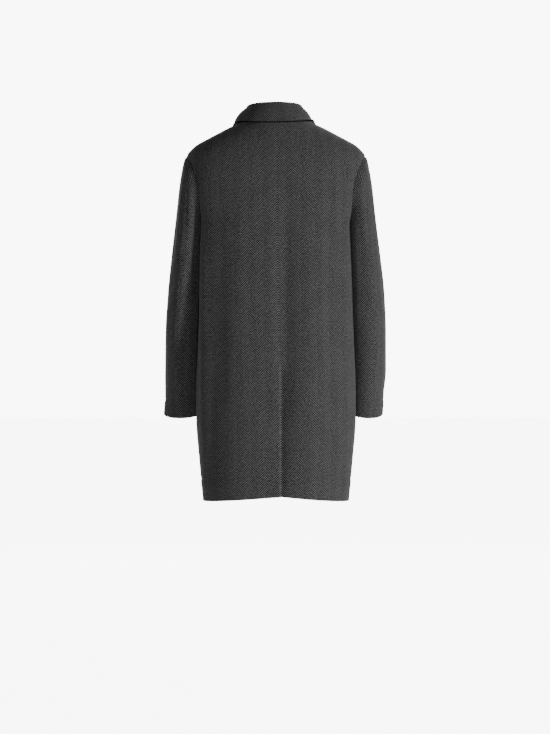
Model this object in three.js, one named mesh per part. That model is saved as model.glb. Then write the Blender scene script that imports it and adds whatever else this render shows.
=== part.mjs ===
// A men's knee-length wool coat, hollow, in the shape it takes when it is worn.
// It is cut as two backs with a centre seam and a vent, two fronts that overlap
// and button down the middle, two-piece sleeves and a turned-down collar.
// Millimetres. +X is the wearer's left, +Y the back, +Z up. The origin is in the
// middle of the neck opening, level with the points where the shoulders meet it.
import * as THREE from "three";

// Cloth and seams
const CLOTH = 2.5; // heavy coating, one layer
const COLLAR_CLOTH = 3; // two thin layers and their interlining
const SEAM_GAP = 0.4;
const LAP_GAP = 1.2; // between two panels that lie on each other

// Heights of the cut
const SHOULDER_TIP_Z = -93;
const UNDERARM_Z = -275;
const VENT_TOP_Z = -620;
const NECK_FRONT_Z = -60;
const NECK_BACK_Z = 4;

// Laps
const VENT_LAP = 40; // how far the right back runs on under the left one
const FRONT_LAP = 25; // past the centre front, on each side

const ARMHOLE_HALF_DEPTH = 74; // from side to side, seen from the end of the shoulder

// Buttons
const BUTTON = { radius: 12, thick: 4, rim: 2.2, dish: 0.9, shank: 4 };
const FIRST_BUTTON_Z = -140;
const BUTTON_PITCH = 148;
const BUTTONS = 4;

// The trunk of the coat at each height, seen from above: half its width, how far its
// back and front stand from the middle, and how square its corners are (2 is an oval).
const TRUNK = [
  { z: 8, halfWidth: 72, back: 62, front: 54, square: 2 },
  { z: 0, halfWidth: 80, back: 73, front: 60, square: 2 },
  { z: -10, halfWidth: 97, back: 84, front: 63, square: 2 },
  { z: -20, halfWidth: 120, back: 92, front: 66, square: 2 },
  { z: -35, halfWidth: 149, back: 101, front: 70, square: 2.05 },
  { z: -51, halfWidth: 179, back: 107.5, front: 75, square: 2.1 },
  { z: -66, halfWidth: 206, back: 112, front: 81, square: 2.12 },
  { z: -80, halfWidth: 222, back: 116, front: 88, square: 2.16 },
  { z: -93, halfWidth: 231, back: 119, front: 96, square: 2.22 },
  { z: -105, halfWidth: 232, back: 121, front: 102, square: 2.3 },
  { z: -130, halfWidth: 230, back: 124, front: 113, square: 2.45 },
  { z: -180, halfWidth: 218, back: 128, front: 128, square: 2.75 },
  { z: -230, halfWidth: 206.5, back: 130, front: 138, square: 2.9 },
  { z: -275, halfWidth: 201, back: 131, front: 143, square: 2.9 },
  { z: -400, halfWidth: 203, back: 132, front: 147, square: 2.8 },
  { z: -600, halfWidth: 205, back: 137, front: 150, square: 2.5 },
  { z: -700, halfWidth: 206, back: 140, front: 151, square: 2.4 },
  { z: -770, halfWidth: 206, back: 141, front: 152, square: 2.35 },
  { z: -880, halfWidth: 199, back: 139, front: 152, square: 2.3 },
  { z: -987, halfWidth: 190, back: 136, front: 150, square: 2.3 },
];

// How far the centre back seam and the vent below it stray from the middle
const SEAM_SWAY = [
  { z: -20, x: -2 },
  { z: -200, x: -3 },
  { z: -470, x: -6 },
  { z: -690, x: -12 },
  { z: -987, x: -12.5 },
];

// How far the arm presses the side of the trunk in
const SIDE_HOLLOW = [
  { z: -150, depth: 0 },
  { z: -230, depth: 9 },
  { z: -275, depth: 21 },
  { z: -330, depth: 15 },
  { z: -450, depth: 7 },
  { z: -650, depth: 0 },
];
const HOLLOW_HALF_DEPTH = 48;

// The rows of cloth over the shoulders: their height at the shoulder seam, and where
// they reach the centre line of the back and of the front.
const SHOULDER_ROWS = [
  { side: 0, back: NECK_BACK_Z, front: NECK_FRONT_Z },
  { side: -9, back: -8, front: -68 },
  { side: -22, back: -22, front: -79 },
  { side: -38, back: -39, front: -92 },
  { side: -55, back: -56, front: -105 },
  { side: -74, back: -75, front: -120 },
];
const TIP_FRONT_MID_Z = -135; // where the row from the shoulder tip meets the centre front
const ARMHOLE_ROWS = 10; // these fan out from the armhole to the centre line
const FAN_BEND = 1.2;
const ROWS_TO_VENT = 9;
const ROWS_BELOW_VENT = 9;
const HEM = { side: -987, back: -971, front: -982 };
const COLUMNS = 12; // cloth cells from a centre line to the side

// A sleeve from the armhole to the cuff, seen from behind: its outer edge on the left and on
// the right side, and its inner edge. Seen from the side: its middle, its half depth and how
// many degrees it leans forward.
const SLEEVE = [
  { at: 0, outL: 231, outR: 231, outZ: -93, inX: 180, inZ: -275, midY: 0, halfDepth: 74, lean: 0 },
  { at: 1, outL: 240, outR: 239, outZ: -112, inX: 188, inZ: -276.5, midY: 0, halfDepth: 76, lean: 0 },
  { at: 2, outL: 246, outR: 245, outZ: -140, inX: 189, inZ: -283, midY: 0, halfDepth: 76.5, lean: 0 },
  { at: 3, outL: 251, outR: 250, outZ: -172, inX: 190, inZ: -295, midY: 0, halfDepth: 77, lean: 0 },
  { at: 5, outL: 260, outR: 259, outZ: -252, inX: 190, inZ: -326, midY: -3, halfDepth: 77, lean: 1 },
  { at: 7, outL: 271, outR: 271, outZ: -345, inX: 190, inZ: -384, midY: -9, halfDepth: 76, lean: 4 },
  { at: 9, outL: 282, outR: 283, outZ: -445, inX: 190, inZ: -465, midY: -20, halfDepth: 74, lean: 8 },
  { at: 11, outL: 291, outR: 290, outZ: -548, inX: 191, inZ: -557, midY: -38, halfDepth: 71, lean: 11 },
  { at: 13, outL: 293, outR: 291, outZ: -650, inX: 192, inZ: -651, midY: -60, halfDepth: 67, lean: 13 },
  { at: 14.5, outL: 292, outR: 285, outZ: -712, inX: 191, inZ: -710, midY: -74, halfDepth: 62, lean: 14 },
  { at: 16, outL: 297, outR: 283, outZ: -764, inX: 193, inZ: -760, midY: -86, halfDepth: 57, lean: 14 },
];
const SLEEVE_RINGS = 16;
const BACK_SEAM = 4; // the sleeve's two seams, in armhole rows from the shoulder tip
const FRONT_SEAM = 6;
const ARM_ROOM = { gap: 3.5, softness: 10, full: 3 }; // kept clear of the trunk, from ring full on

// Long soft folds of the trunk: where each starts and ends, its half width, and its depth.
// A ridge has a negative depth. x is measured on the coat, from the centre seam.
const FOLDS = [
  { name: "left blade", face: 1, xTop: 126, zTop: -110, xEnd: 172, zEnd: -1040, halfWidth: 27, depth: 7 },
  { name: "left panel", face: 1, xTop: 96, zTop: -200, xEnd: 104, zEnd: -1080, halfWidth: 34, depth: -5 },
  { name: "vent trough", face: 1, xTop: -28, zTop: -150, xEnd: 8, zEnd: -1080, halfWidth: 26, depth: 10 },
  { name: "right panel", face: 1, xTop: -84, zTop: -230, xEnd: -90, zEnd: -1080, halfWidth: 36, depth: -4 },
  { name: "right blade", face: 1, xTop: -140, zTop: -130, xEnd: -158, zEnd: -780, halfWidth: 26, depth: 7 },
  { name: "left chest", face: -1, xTop: 118, zTop: -150, xEnd: 112, zEnd: -900, halfWidth: 28, depth: 6 },
  { name: "right chest", face: -1, xTop: -112, zTop: -160, xEnd: -118, zEnd: -880, halfWidth: 28, depth: 6 },
  { name: "left skirt", face: -1, xTop: 60, zTop: -420, xEnd: 66, zEnd: -1060, halfWidth: 32, depth: -5 },
  { name: "right skirt", face: -1, xTop: -66, zTop: -430, xEnd: -58, zEnd: -1060, halfWidth: 32, depth: -5 },
];

// Long soft folds of a sleeve: the angle round it (0 outside, 90 back, 180 inside),
// the rings they run between, half their width in degrees, and their depth.
const SLEEVE_FOLDS = [
  { name: "back of the arm", angleTop: 112, ringTop: 1, angleEnd: 96, ringEnd: 11, halfWidth: 17, depth: 8 },
  { name: "elbow back", angleTop: 62, ringTop: 5, angleEnd: 74, ringEnd: 14, halfWidth: 20, depth: -4 },
  { name: "front bend", angleTop: -78, ringTop: 4, angleEnd: -64, ringEnd: 13, halfWidth: 18, depth: 5 },
  { name: "outer forearm", angleTop: 8, ringTop: 9, angleEnd: 24, ringEnd: 15.5, halfWidth: 20, depth: 3 },
];

// The collar, from the middle of the back (0) to its front end (1): how far its rolled top
// leans out on the left and on the right side and rises from the neck seam, and how far its
// edge lies out on each side, down and back.
const COLLAR = [
  { at: 0, rollL: -6, rollR: -6, rollUp: 36, edgeL: 29, edgeR: 28, edgeUp: -24, edgeBack: 0 },
  { at: 0.25, rollL: -8, rollR: -11, rollUp: 38, edgeL: 30, edgeR: 24, edgeUp: -18, edgeBack: 0 },
  { at: 0.5, rollL: -9, rollR: -17, rollUp: 37, edgeL: 30, edgeR: 16, edgeUp: -9, edgeBack: 0 },
  { at: 0.72, rollL: -6, rollR: -9, rollUp: 29, edgeL: 34, edgeR: 28, edgeUp: -22, edgeBack: 2 },
  { at: 0.88, rollL: -3, rollR: -3, rollUp: 23, edgeL: 40, edgeR: 40, edgeUp: -40, edgeBack: 14 },
  { at: 1, rollL: 0, rollR: 0, rollUp: 19, edgeL: 42, edgeR: 42, edgeUp: -58, edgeBack: 44 },
];
const COLLAR_END_X = 6; // each end of the collar, beside the centre front
const COLLAR_STATIONS = 13; // on each side of the centre back
const ROLL_RADIUS = 7;
const COLLAR_LIFT = 0.7; // its foot, above the neck edge of the cloth
const COLLAR_REST = 2; // between its turned-down part and the shoulders
const STAND_CELLS = 3;
const ROLL_CELLS = 5;
const FALL_CELLS = 5;
const FALL_CROWN = 5; // how far the turned-down part bows outwards

// A table's columns as smooth functions of one of them, with no overshoot between rows.
function columnsOf(rows, axis) {
  const sorted = [...rows].sort((a, b) => a[axis] - b[axis]);
  const xs = sorted.map((row) => row[axis]);
  const made = {};
  for (const name of Object.keys(sorted[0])) {
    if (name === axis) continue;
    const ys = sorted.map((row) => row[name]);
    const slopes = xs.slice(1).map((x, i) => (ys[i + 1] - ys[i]) / (x - xs[i]));
    const tangents = ys.map((_, i) => {
      if (i === 0) return slopes[0];
      if (i === ys.length - 1) return slopes[i - 1];
      const before = slopes[i - 1];
      const after = slopes[i];
      return before * after <= 0 ? 0 : (2 * before * after) / (before + after);
    });
    made[name] = (at) => {
      const x = Math.min(Math.max(at, xs[0]), xs[xs.length - 1]);
      let i = xs.findIndex((edge) => edge > x) - 1;
      if (i < 0) i = xs.length - 2;
      const step = xs[i + 1] - xs[i];
      const t = (x - xs[i]) / step;
      const t2 = t * t;
      const t3 = t2 * t;
      return (
        (2 * t3 - 3 * t2 + 1) * ys[i] +
        (t3 - 2 * t2 + t) * step * tangents[i] +
        (3 * t2 - 2 * t3) * ys[i + 1] +
        (t3 - t2) * step * tangents[i + 1]
      );
    };
  }
  return made;
}

const trunk = columnsOf(TRUNK, "z");
const sleeve = columnsOf(SLEEVE, "at");
const hollow = columnsOf(SIDE_HOLLOW, "z");
const sway = columnsOf(SEAM_SWAY, "z");
const collar = columnsOf(COLLAR, "at");

const between = (a, b, t) => a + (b - a) * t;
const clamp01 = (t) => Math.min(Math.max(t, 0), 1);

function ease(from, to, at) {
  const t = clamp01((at - from) / (to - from));
  return t * t * (3 - 2 * t);
}

function softMax(a, b, softness) {
  const h = Math.max(softness - Math.abs(a - b), 0) / softness;
  return Math.max(a, b) + (h * h * softness) / 4;
}

function foldDepth(face, x, z) {
  let depth = 0;
  for (const fold of FOLDS) {
    if (fold.face !== face || z > fold.zTop || z < fold.zEnd) continue;
    const along = (z - fold.zTop) / (fold.zEnd - fold.zTop);
    const across = (x - between(fold.xTop, fold.xEnd, along)) / fold.halfWidth;
    depth += fold.depth * Math.sin(Math.PI * along) * Math.exp(-across * across);
  }
  return depth;
}

// A spot on the trunk's own curve at height z, and the way that its cloth faces there
function sectionSpot(face, share, z) {
  const angle = (share * Math.PI) / 2;
  const power = 2 / trunk.square(z);
  const halfWidth = trunk.halfWidth(z);
  const depth = face > 0 ? trunk.back(z) : trunk.front(z);
  const x = halfWidth * Math.abs(Math.sin(angle)) ** power;
  const y = face * depth * Math.abs(Math.cos(angle)) ** power;
  const facing = new THREE.Vector3(
    (x / halfWidth) ** (2 / power - 1) / halfWidth,
    (face * (Math.abs(y) / depth) ** (2 / power - 1)) / depth,
    0,
  );
  const pressed = hollow.depth(z) * Math.sin(angle) * Math.exp(-((y / HOLLOW_HALF_DEPTH) ** 2));
  return { x: x - pressed, y, facing: facing.normalize() };
}

// How far round the trunk's section, from the centre line (0) to the side (1), depth y lies
function shareAt(face, y, z) {
  const depth = face > 0 ? trunk.back(z) : trunk.front(z);
  return (Math.acos((Math.abs(y) / depth) ** (trunk.square(z) / 2)) * 2) / Math.PI;
}

// The armhole is an oval hole in the trunk's side. angle 0 is the shoulder tip, 180 degrees
// the underarm, and face says whether the point is on the back or on the front.
function armholePoint(angle, face) {
  const y = face * ARMHOLE_HALF_DEPTH * Math.sin(angle);
  const z = (SHOULDER_TIP_Z + UNDERARM_Z) / 2 + ((SHOULDER_TIP_Z - UNDERARM_Z) / 2) * Math.cos(angle);
  return new THREE.Vector3(sectionSpot(face, shareAt(face, y, z), z).x, y, z);
}

// A point of the trunk. share runs from 0 at the centre line to 1 at the side or armhole,
// level says how the row of cloth lies, and side is 1 on the wearer's left, -1 on the right.
function trunkPoint(face, side, level, share) {
  const z = level.side + (level.mid - level.side) * (1 - share) ** level.bend;
  const edge = level.armhole === undefined ? undefined : armholePoint(level.armhole, face);
  const end = edge ? shareAt(face, edge.y, edge.z) : 1;
  const spot = sectionSpot(face, share * end, z);
  const { facing } = spot;
  const sink = foldDepth(face, side * spot.x, z) * (1 - share ** 6);
  const stray = face > 0 ? sway.x(z) * (1 - share) ** 3 : 0;
  const place = new THREE.Vector3(side * (spot.x - facing.x * sink) + stray, spot.y - facing.y * sink, z);
  if (edge && share === 1) place.set(side * edge.x, edge.y, edge.z);
  return { place, facing: new THREE.Vector3(side * facing.x, facing.y, 0) };
}

// The rows of a panel from its hem to its neck edge
function levelsOf(face) {
  const middle = face > 0 ? "back" : "front";
  const levels = [];
  const straight = (side, mid) => levels.push({ side, mid, bend: 2 });
  for (let i = 0; i < ROWS_BELOW_VENT; i++) {
    const t = i / ROWS_BELOW_VENT;
    straight(between(HEM.side, VENT_TOP_Z, t), between(HEM[middle], VENT_TOP_Z, t));
  }
  for (let i = 0; i < ROWS_TO_VENT; i++) {
    const t = i / ROWS_TO_VENT;
    straight(between(VENT_TOP_Z, UNDERARM_Z, t), between(VENT_TOP_Z, UNDERARM_Z, t));
  }
  for (let k = ARMHOLE_ROWS; k >= 0; k--) {
    const armhole = (k / ARMHOLE_ROWS) * Math.PI;
    const top = face > 0 ? SHOULDER_TIP_Z : TIP_FRONT_MID_Z;
    const mid = between(top, UNDERARM_Z, k / ARMHOLE_ROWS);
    levels.push({ side: armholePoint(armhole, face).z, mid, bend: FAN_BEND, armhole });
  }
  for (const row of [...SHOULDER_ROWS].reverse()) straight(row.side, row[middle]);
  return levels;
}

const VENT_ROW = ROWS_BELOW_VENT; // the first row that the centre seam closes

// One row of cloth, in evenly long cells from the centre line to the side
function evenRow(face, side, level) {
  const fine = 60;
  const line = [];
  for (let i = 0; i <= fine; i++) line.push(trunkPoint(face, side, level, i / fine));
  const along = [0];
  for (let i = 1; i <= fine; i++) {
    along.push(along[i - 1] + line[i].place.distanceTo(line[i - 1].place));
  }
  const row = [line[0]];
  for (let c = 1; c < COLUMNS; c++) {
    const wanted = (c / COLUMNS) * along[fine];
    const i = along.findIndex((d) => d >= wanted);
    const t = (wanted - along[i - 1]) / (along[i] - along[i - 1]);
    row.push(trunkPoint(face, side, level, (i - 1 + t) / fine));
  }
  row.push(line[fine]);
  return row;
}

// Cloth past the centre line, at distance reach from it, on the same curve as the panel's
function pastMiddle(face, side, level, reach) {
  const halfWidth = trunk.halfWidth(level.mid);
  const angle = Math.asin((reach / halfWidth) ** (trunk.square(level.mid) / 2));
  return trunkPoint(face, -side, level, (angle * 2) / Math.PI);
}

const movedIn = (point, by) => point.place.clone().addScaledVector(point.facing, -by);
const LAP_DEPTH = CLOTH + LAP_GAP;

// A grid of points as a sheet of four-cornered cells. Row 0 is the lowest.
function sheetOf(name, rows, flip) {
  const points = rows.flat();
  const cells = [];
  let start = 0;
  for (let r = 0; r + 1 < rows.length; r++) {
    const next = start + rows[r].length;
    for (let c = 0; c + 1 < rows[r].length; c++) {
      const cell = [start + c, next + c, next + c + 1, start + c + 1];
      cells.push(flip ? cell.reverse() : cell);
    }
    start = next;
  }
  return { name, points, cells };
}

function backPanel(side) {
  const levels = levelsOf(1);
  const right = side < 0;
  const rows = levels.map((level, r) => {
    const row = evenRow(1, side, level);
    if (!right || r >= VENT_ROW) return row.map((point) => point.place);
    return row.map((point) => {
      const near = 1 - ease(25, 75, Math.abs(point.place.x));
      return movedIn(point, LAP_DEPTH * near);
    });
  });
  const sheet = sheetOf(right ? "back_right" : "back_left", rows, right);
  if (right) addUnderlap(sheet, levels);
  return sheet;
}

// The right back runs on behind the left one, from the row below the top of the vent
function addUnderlap(sheet, levels) {
  const width = COLUMNS + 1;
  const steps = 3;
  const first = sheet.points.length;
  for (let r = 0; r < VENT_ROW; r++) {
    for (let c = 1; c <= steps; c++) {
      const point = pastMiddle(1, -1, levels[r], (VENT_LAP * c) / steps);
      sheet.points.push(movedIn(point, LAP_DEPTH));
    }
  }
  const at = (r, c) => (c === 0 ? r * width : first + r * steps + c - 1);
  for (let r = 0; r + 1 < VENT_ROW; r++) {
    for (let c = 0; c < steps; c++) {
      sheet.cells.push([at(r, c), at(r + 1, c), at(r + 1, c + 1), at(r, c + 1)]);
    }
  }
}

function frontPanel(side) {
  const right = side < 0;
  const rows = levelsOf(-1).map((level) => {
    const row = evenRow(-1, side, level);
    const lap = [1, 0.5].map((share) => pastMiddle(-1, side, level, FRONT_LAP * share));
    return [...lap, ...row].map((point) => {
      if (!right) return point.place;
      const near = point.place.x > 0 ? 1 : 1 - ease(25, 75, -point.place.x);
      return movedIn(point, LAP_DEPTH * near);
    });
  });
  return sheetOf(right ? "front_right" : "front_left", rows, !right);
}

function sleeveFold(angle, ring) {
  const degrees = THREE.MathUtils.radToDeg(angle);
  let depth = 0;
  for (const fold of SLEEVE_FOLDS) {
    if (ring < fold.ringTop || ring > fold.ringEnd) continue;
    const along = (ring - fold.ringTop) / (fold.ringEnd - fold.ringTop);
    const across = (degrees - between(fold.angleTop, fold.angleEnd, along)) / fold.halfWidth;
    depth += fold.depth * Math.sin(Math.PI * along) * Math.exp(-across * across);
  }
  return depth;
}

// How far out the trunk's cloth reaches beside the arm, at depth y and height z
function trunkReach(y, z) {
  const face = y < 0 ? -1 : 1;
  const level = { side: z, mid: z, bend: 1 };
  const up = (2 * z - SHOULDER_TIP_Z - UNDERARM_Z) / (SHOULDER_TIP_Z - UNDERARM_Z);
  if (Math.abs(up) <= 1) level.armhole = Math.acos(up);
  const fine = 48;
  let outer = trunkPoint(face, 1, level, 1).place;
  if (Math.abs(y) < Math.abs(outer.y)) return level.armhole === undefined ? outer.x : -Infinity;
  for (let i = fine - 1; i > 0; i--) {
    const next = trunkPoint(face, 1, level, i / fine).place;
    if (Math.abs(next.y) >= Math.abs(y)) {
      const t = (Math.abs(y) - Math.abs(outer.y)) / (Math.abs(next.y) - Math.abs(outer.y));
      return between(outer.x, next.x, t);
    }
    outer = next;
  }
  return -Infinity;
}

// A point of the sleeve: angle 0 is its outer edge, 90 degrees its back, 180 its inner edge
function sleevePoint(side, ring, angle) {
  if (ring === 0) {
    const seam = armholePoint(Math.abs(angle), Math.sign(angle) || 1);
    return seam.setX(side * seam.x);
  }
  const lean = THREE.MathUtils.degToRad(sleeve.lean(ring));
  const depth = sleeve.halfDepth(ring);
  const sink = sleeveFold(angle, ring);
  const out = Math.cos(angle);
  const back = Math.sin(angle);
  const outer = side > 0 ? sleeve.outL(ring) : sleeve.outR(ring);
  const halfX = (outer - sleeve.inX(ring)) / 2;
  const halfZ = (sleeve.outZ(ring) - sleeve.inZ(ring)) / 2;
  const shrinkOut = 1 - sink / Math.hypot(halfX, halfZ);
  const shrinkBack = 1 - sink / depth;
  const y = sleeve.midY(ring) + depth * back * Math.cos(lean) * shrinkBack;
  const z =
    (sleeve.outZ(ring) + sleeve.inZ(ring)) / 2 +
    halfZ * out * shrinkOut -
    depth * back * Math.sin(lean) * shrinkBack;
  const x = outer - halfX + halfX * out * shrinkOut;
  const clear = trunkReach(y, z) + ARM_ROOM.gap * ease(0, ARM_ROOM.full, ring);
  return new THREE.Vector3(side * softMax(x, clear, ARM_ROOM.softness), y, z);
}

// The top piece of a sleeve lies outside and in front, the under piece beside the trunk
function sleevePanel(side, under) {
  const spokes = [];
  const spoke = (k) => (k / ARMHOLE_ROWS) * Math.PI;
  if (under) {
    for (let k = BACK_SEAM; k <= ARMHOLE_ROWS; k++) spokes.push(spoke(k));
    for (let k = ARMHOLE_ROWS - 1; k >= FRONT_SEAM; k--) spokes.push(-spoke(k));
  } else {
    for (let k = -FRONT_SEAM; k <= BACK_SEAM; k++) spokes.push(spoke(k));
  }
  const rows = [];
  for (let ring = SLEEVE_RINGS; ring >= 0; ring--) {
    rows.push(spokes.map((angle) => sleevePoint(side, ring, angle)));
  }
  const name = (under ? "under_sleeve_" : "top_sleeve_") + (side > 0 ? "left" : "right");
  return sheetOf(name, rows, side > 0);
}

// The neck edge of the cloth, from the middle of the back (0) to the centre front (1)
function neckPoint(side, at) {
  const [face, share, level] =
    at <= 0.5
      ? [1, at * 2, { side: 0, mid: NECK_BACK_Z, bend: 2 }]
      : [-1, 2 - at * 2, { side: 0, mid: NECK_FRONT_Z, bend: 2 }];
  return trunkPoint(face, side, level, share).place;
}

// How far a point is from the trunk's cloth, and the way out from it
function outsideTrunk(p) {
  const size = (x, y, z) => {
    const n = trunk.square(z);
    const depth = y > 0 ? trunk.back(z) : trunk.front(z);
    return ((Math.abs(x) / trunk.halfWidth(z)) ** n + (Math.abs(y) / depth) ** n) ** (1 / n);
  };
  const step = 0.5;
  const here = size(p.x, p.y, p.z);
  const way = new THREE.Vector3(
    size(p.x + step, p.y, p.z) - here,
    size(p.x, p.y + step, p.z) - here,
    size(p.x, p.y, p.z + step) - here,
  ).divideScalar(step);
  const steep = way.length();
  return { distance: (here - 1) / steep, way: way.divideScalar(steep) };
}

function liftedOff(p, least) {
  for (let i = 0; i < 6; i++) {
    const { distance, way } = outsideTrunk(p);
    if (distance < least) p.addScaledVector(way, least - distance);
  }
  return p;
}

// The collar's shown side: up the stand next to the neck, over the roll and down the fall
function collarSheet() {
  const endShare = Math.asin(COLLAR_END_X / trunk.halfWidth(NECK_FRONT_Z)) * (2 / Math.PI);
  const last = 1 - endShare / 2;
  const stations = [];
  for (let i = -COLLAR_STATIONS; i <= COLLAR_STATIONS; i++) {
    stations.push({ side: i < 0 ? -1 : 1, share: Math.abs(i) / COLLAR_STATIONS });
  }
  const rows = stations.map(({ side, share }) => {
    const at = share * last;
    const foot = neckPoint(side, at);
    const step = 0.01;
    const ahead = neckPoint(side, Math.min(at + step, 1));
    const behind = neckPoint(side, Math.max(at - step, 0));
    const forward = share === 0 ? new THREE.Vector3(side, 0, 0) : ahead.sub(behind).setZ(0).normalize();
    const out = new THREE.Vector3(forward.y * -side, forward.x * side, 0);
    const spot = (outwards, up, back) => {
      const point = foot.clone().addScaledVector(out, outwards).addScaledVector(forward, -back);
      return point.setZ(foot.z + up);
    };
    const rollOut = side > 0 ? collar.rollL(share) : collar.rollR(share);
    const rollUp = collar.rollUp(share) - ROLL_RADIUS;
    const edgeOut = side > 0 ? collar.edgeL(share) : collar.edgeR(share);
    const edgeUp = collar.edgeUp(share);
    const edgeBack = collar.edgeBack(share);
    const line = [];
    for (let i = 0; i < STAND_CELLS; i++) {
      const t = i / STAND_CELLS;
      line.push(spot((rollOut - ROLL_RADIUS) * t, between(COLLAR_LIFT, rollUp, t), 0));
    }
    for (let i = 0; i < ROLL_CELLS; i++) {
      const turn = Math.PI * (1 - i / ROLL_CELLS);
      line.push(spot(rollOut + ROLL_RADIUS * Math.cos(turn), rollUp + ROLL_RADIUS * Math.sin(turn), 0));
    }
    for (let i = 0; i <= FALL_CELLS; i++) {
      const t = i / FALL_CELLS;
      const crown = FALL_CROWN * 4 * t * (1 - t);
      const point = spot(
        between(rollOut + ROLL_RADIUS, edgeOut, t) + crown * 0.7,
        between(rollUp, edgeUp, t) + crown * 0.7,
        edgeBack * t,
      );
      line.push(liftedOff(point, (COLLAR_CLOTH + COLLAR_REST) * Math.min(t * 2, 1)));
    }
    return line;
  });
  return sheetOf("collar", rows, false);
}

const keyOf = (p) => [p.x, p.y, p.z].map((v) => Math.round(v * 500) + 0).join();

function cellNormal(sheet, cell) {
  const [a, b, c, d] = cell.map((i) => sheet.points[i]);
  return new THREE.Vector3().subVectors(c, a).cross(new THREE.Vector3().subVectors(d, b));
}

function ownNormals(sheet) {
  const sums = sheet.points.map(() => new THREE.Vector3());
  for (const cell of sheet.cells) {
    const normal = cellNormal(sheet, cell);
    for (const i of cell) sums[i].add(normal);
  }
  return sums.map((sum) => sum.normalize());
}

// The cut edges that lie on each other in two sheets, each with its way into its own cloth
function seamsOf(sheets) {
  const found = new Map();
  for (const sheet of sheets) {
    for (const [a, b, cell] of rimOf(sheet)) {
      const key = [a, b].map((i) => keyOf(sheet.points[i])).sort().join(" ");
      const middle = new THREE.Vector3();
      for (const i of cell) middle.addScaledVector(sheet.points[i], 0.25);
      const edge = sheet.points[a].clone().add(sheet.points[b]).multiplyScalar(0.5);
      if (!found.has(key)) found.set(key, []);
      found.get(key).push({ sheet, a, b, into: middle.sub(edge).normalize() });
    }
  }
  return [...found.values()].filter((sides) => sides.length === 2);
}

// Sewn sheets share the direction of their cloth along each seam, so that their cut edges
// face each other squarely, and each is then cut back by half the seam gap.
function sew(sheets) {
  const shared = new Map();
  for (const sheet of sheets) {
    ownNormals(sheet).forEach((normal, i) => {
      const key = keyOf(sheet.points[i]);
      if (!shared.has(key)) shared.set(key, new THREE.Vector3());
      shared.get(key).add(normal);
    });
  }
  for (const sheet of sheets) {
    sheet.normals = sheet.points.map((p) => shared.get(keyOf(p)).clone().normalize());
    sheet.cuts = sheet.points.map(() => []);
  }
  for (const [one, two] of seamsOf(sheets)) {
    for (const [mine, other] of [[one, two], [two, one]]) {
      const { sheet, a, b } = mine;
      const apart = mine.into.clone().sub(other.into);
      const along = new THREE.Vector3().subVectors(sheet.points[b], sheet.points[a]);
      for (const i of [a, b]) {
        const back = new THREE.Vector3().crossVectors(sheet.normals[i], along).normalize();
        sheet.cuts[i].push(back.multiplyScalar(Math.sign(back.dot(apart))));
      }
    }
  }
  for (const sheet of sheets) {
    sheet.points = sheet.points.map((p, i) => {
      const [one, two] = sheet.cuts[i];
      if (!one) return p;
      const by = two ? one.clone().add(two) : one.clone();
      if (two && one.dot(two) > 0.7) by.normalize(); // the same seam, running on
      return p.clone().addScaledVector(by, SEAM_GAP / 2);
    });
  }
}

// The edges of a sheet that only one cell has, each with that cell
function rimOf(sheet) {
  const edges = new Map();
  for (const cell of sheet.cells) {
    cell.forEach((a, i) => {
      const b = cell[(i + 1) % cell.length];
      const back = b + "/" + a;
      if (edges.has(back)) edges.delete(back);
      else edges.set(a + "/" + b, [a, b, cell]);
    });
  }
  return [...edges.values()];
}

const turned = ([a, b, c, d]) => [b, c, d, a];

// A sheet as a wall: its shown side, the same side moved in by the cloth's thickness,
// and a strip along every cut edge.
function wallGeometry(sheet, thickness) {
  const count = sheet.points.length;
  const inner = sheet.points.map((p, i) => p.clone().addScaledVector(sheet.normals[i], -thickness));
  const index = [];
  const four = (a, b, c, d) => index.push(a, b, c, a, c, d);
  const apart = (i, j) => sheet.points[i].distanceTo(sheet.points[j]);
  for (const cell of sheet.cells) {
    // each cell is split along its shorter diagonal, on both sides of the cloth
    const [a, b, c, d] = apart(cell[0], cell[2]) > apart(cell[1], cell[3]) + 0.01 ? turned(cell) : cell;
    four(a, b, c, d);
    four(a + count, d + count, c + count, b + count);
  }
  const order = (i) => sheet.points[i].z * 3 + sheet.points[i].y * 2 + sheet.points[i].x;
  for (const [a, b] of rimOf(sheet)) {
    // both sides of a seam are split the same way
    if (order(a) < order(b)) four(b, a, a + count, b + count);
    else four(a, a + count, b + count, b);
  }
  const geometry = new THREE.BufferGeometry();
  geometry.setFromPoints([...sheet.points, ...inner]);
  geometry.setIndex(index);
  geometry.computeVertexNormals();
  return geometry;
}

const wool = new THREE.MeshStandardMaterial({ color: 0x3d3d3d, roughness: 0.95, metalness: 0 });
const horn = new THREE.MeshStandardMaterial({ color: 0x1a1a1b, roughness: 0.4, metalness: 0 });

function clothMesh(sheet, thickness) {
  const mesh = new THREE.Mesh(wallGeometry(sheet, thickness), wool);
  mesh.name = sheet.name;
  return mesh;
}

// A button: a dished disc with a raised rim on a short sewn shank
function buttonGeometry() {
  const { radius, thick, rim, dish, shank } = BUTTON;
  const profile = [
    [0, 0],
    [shank, 0],
    [shank, 1.2],
    [radius - 1.2, 1.2],
    [radius, 2.2],
    [radius, thick - 0.6],
    [radius - 0.6, thick],
    [radius - rim, thick],
    [radius - rim - 1, thick - dish],
    [0, thick - dish],
  ].map(([r, h]) => new THREE.Vector2(r, h));
  return new THREE.LatheGeometry(profile, 20);
}

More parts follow.
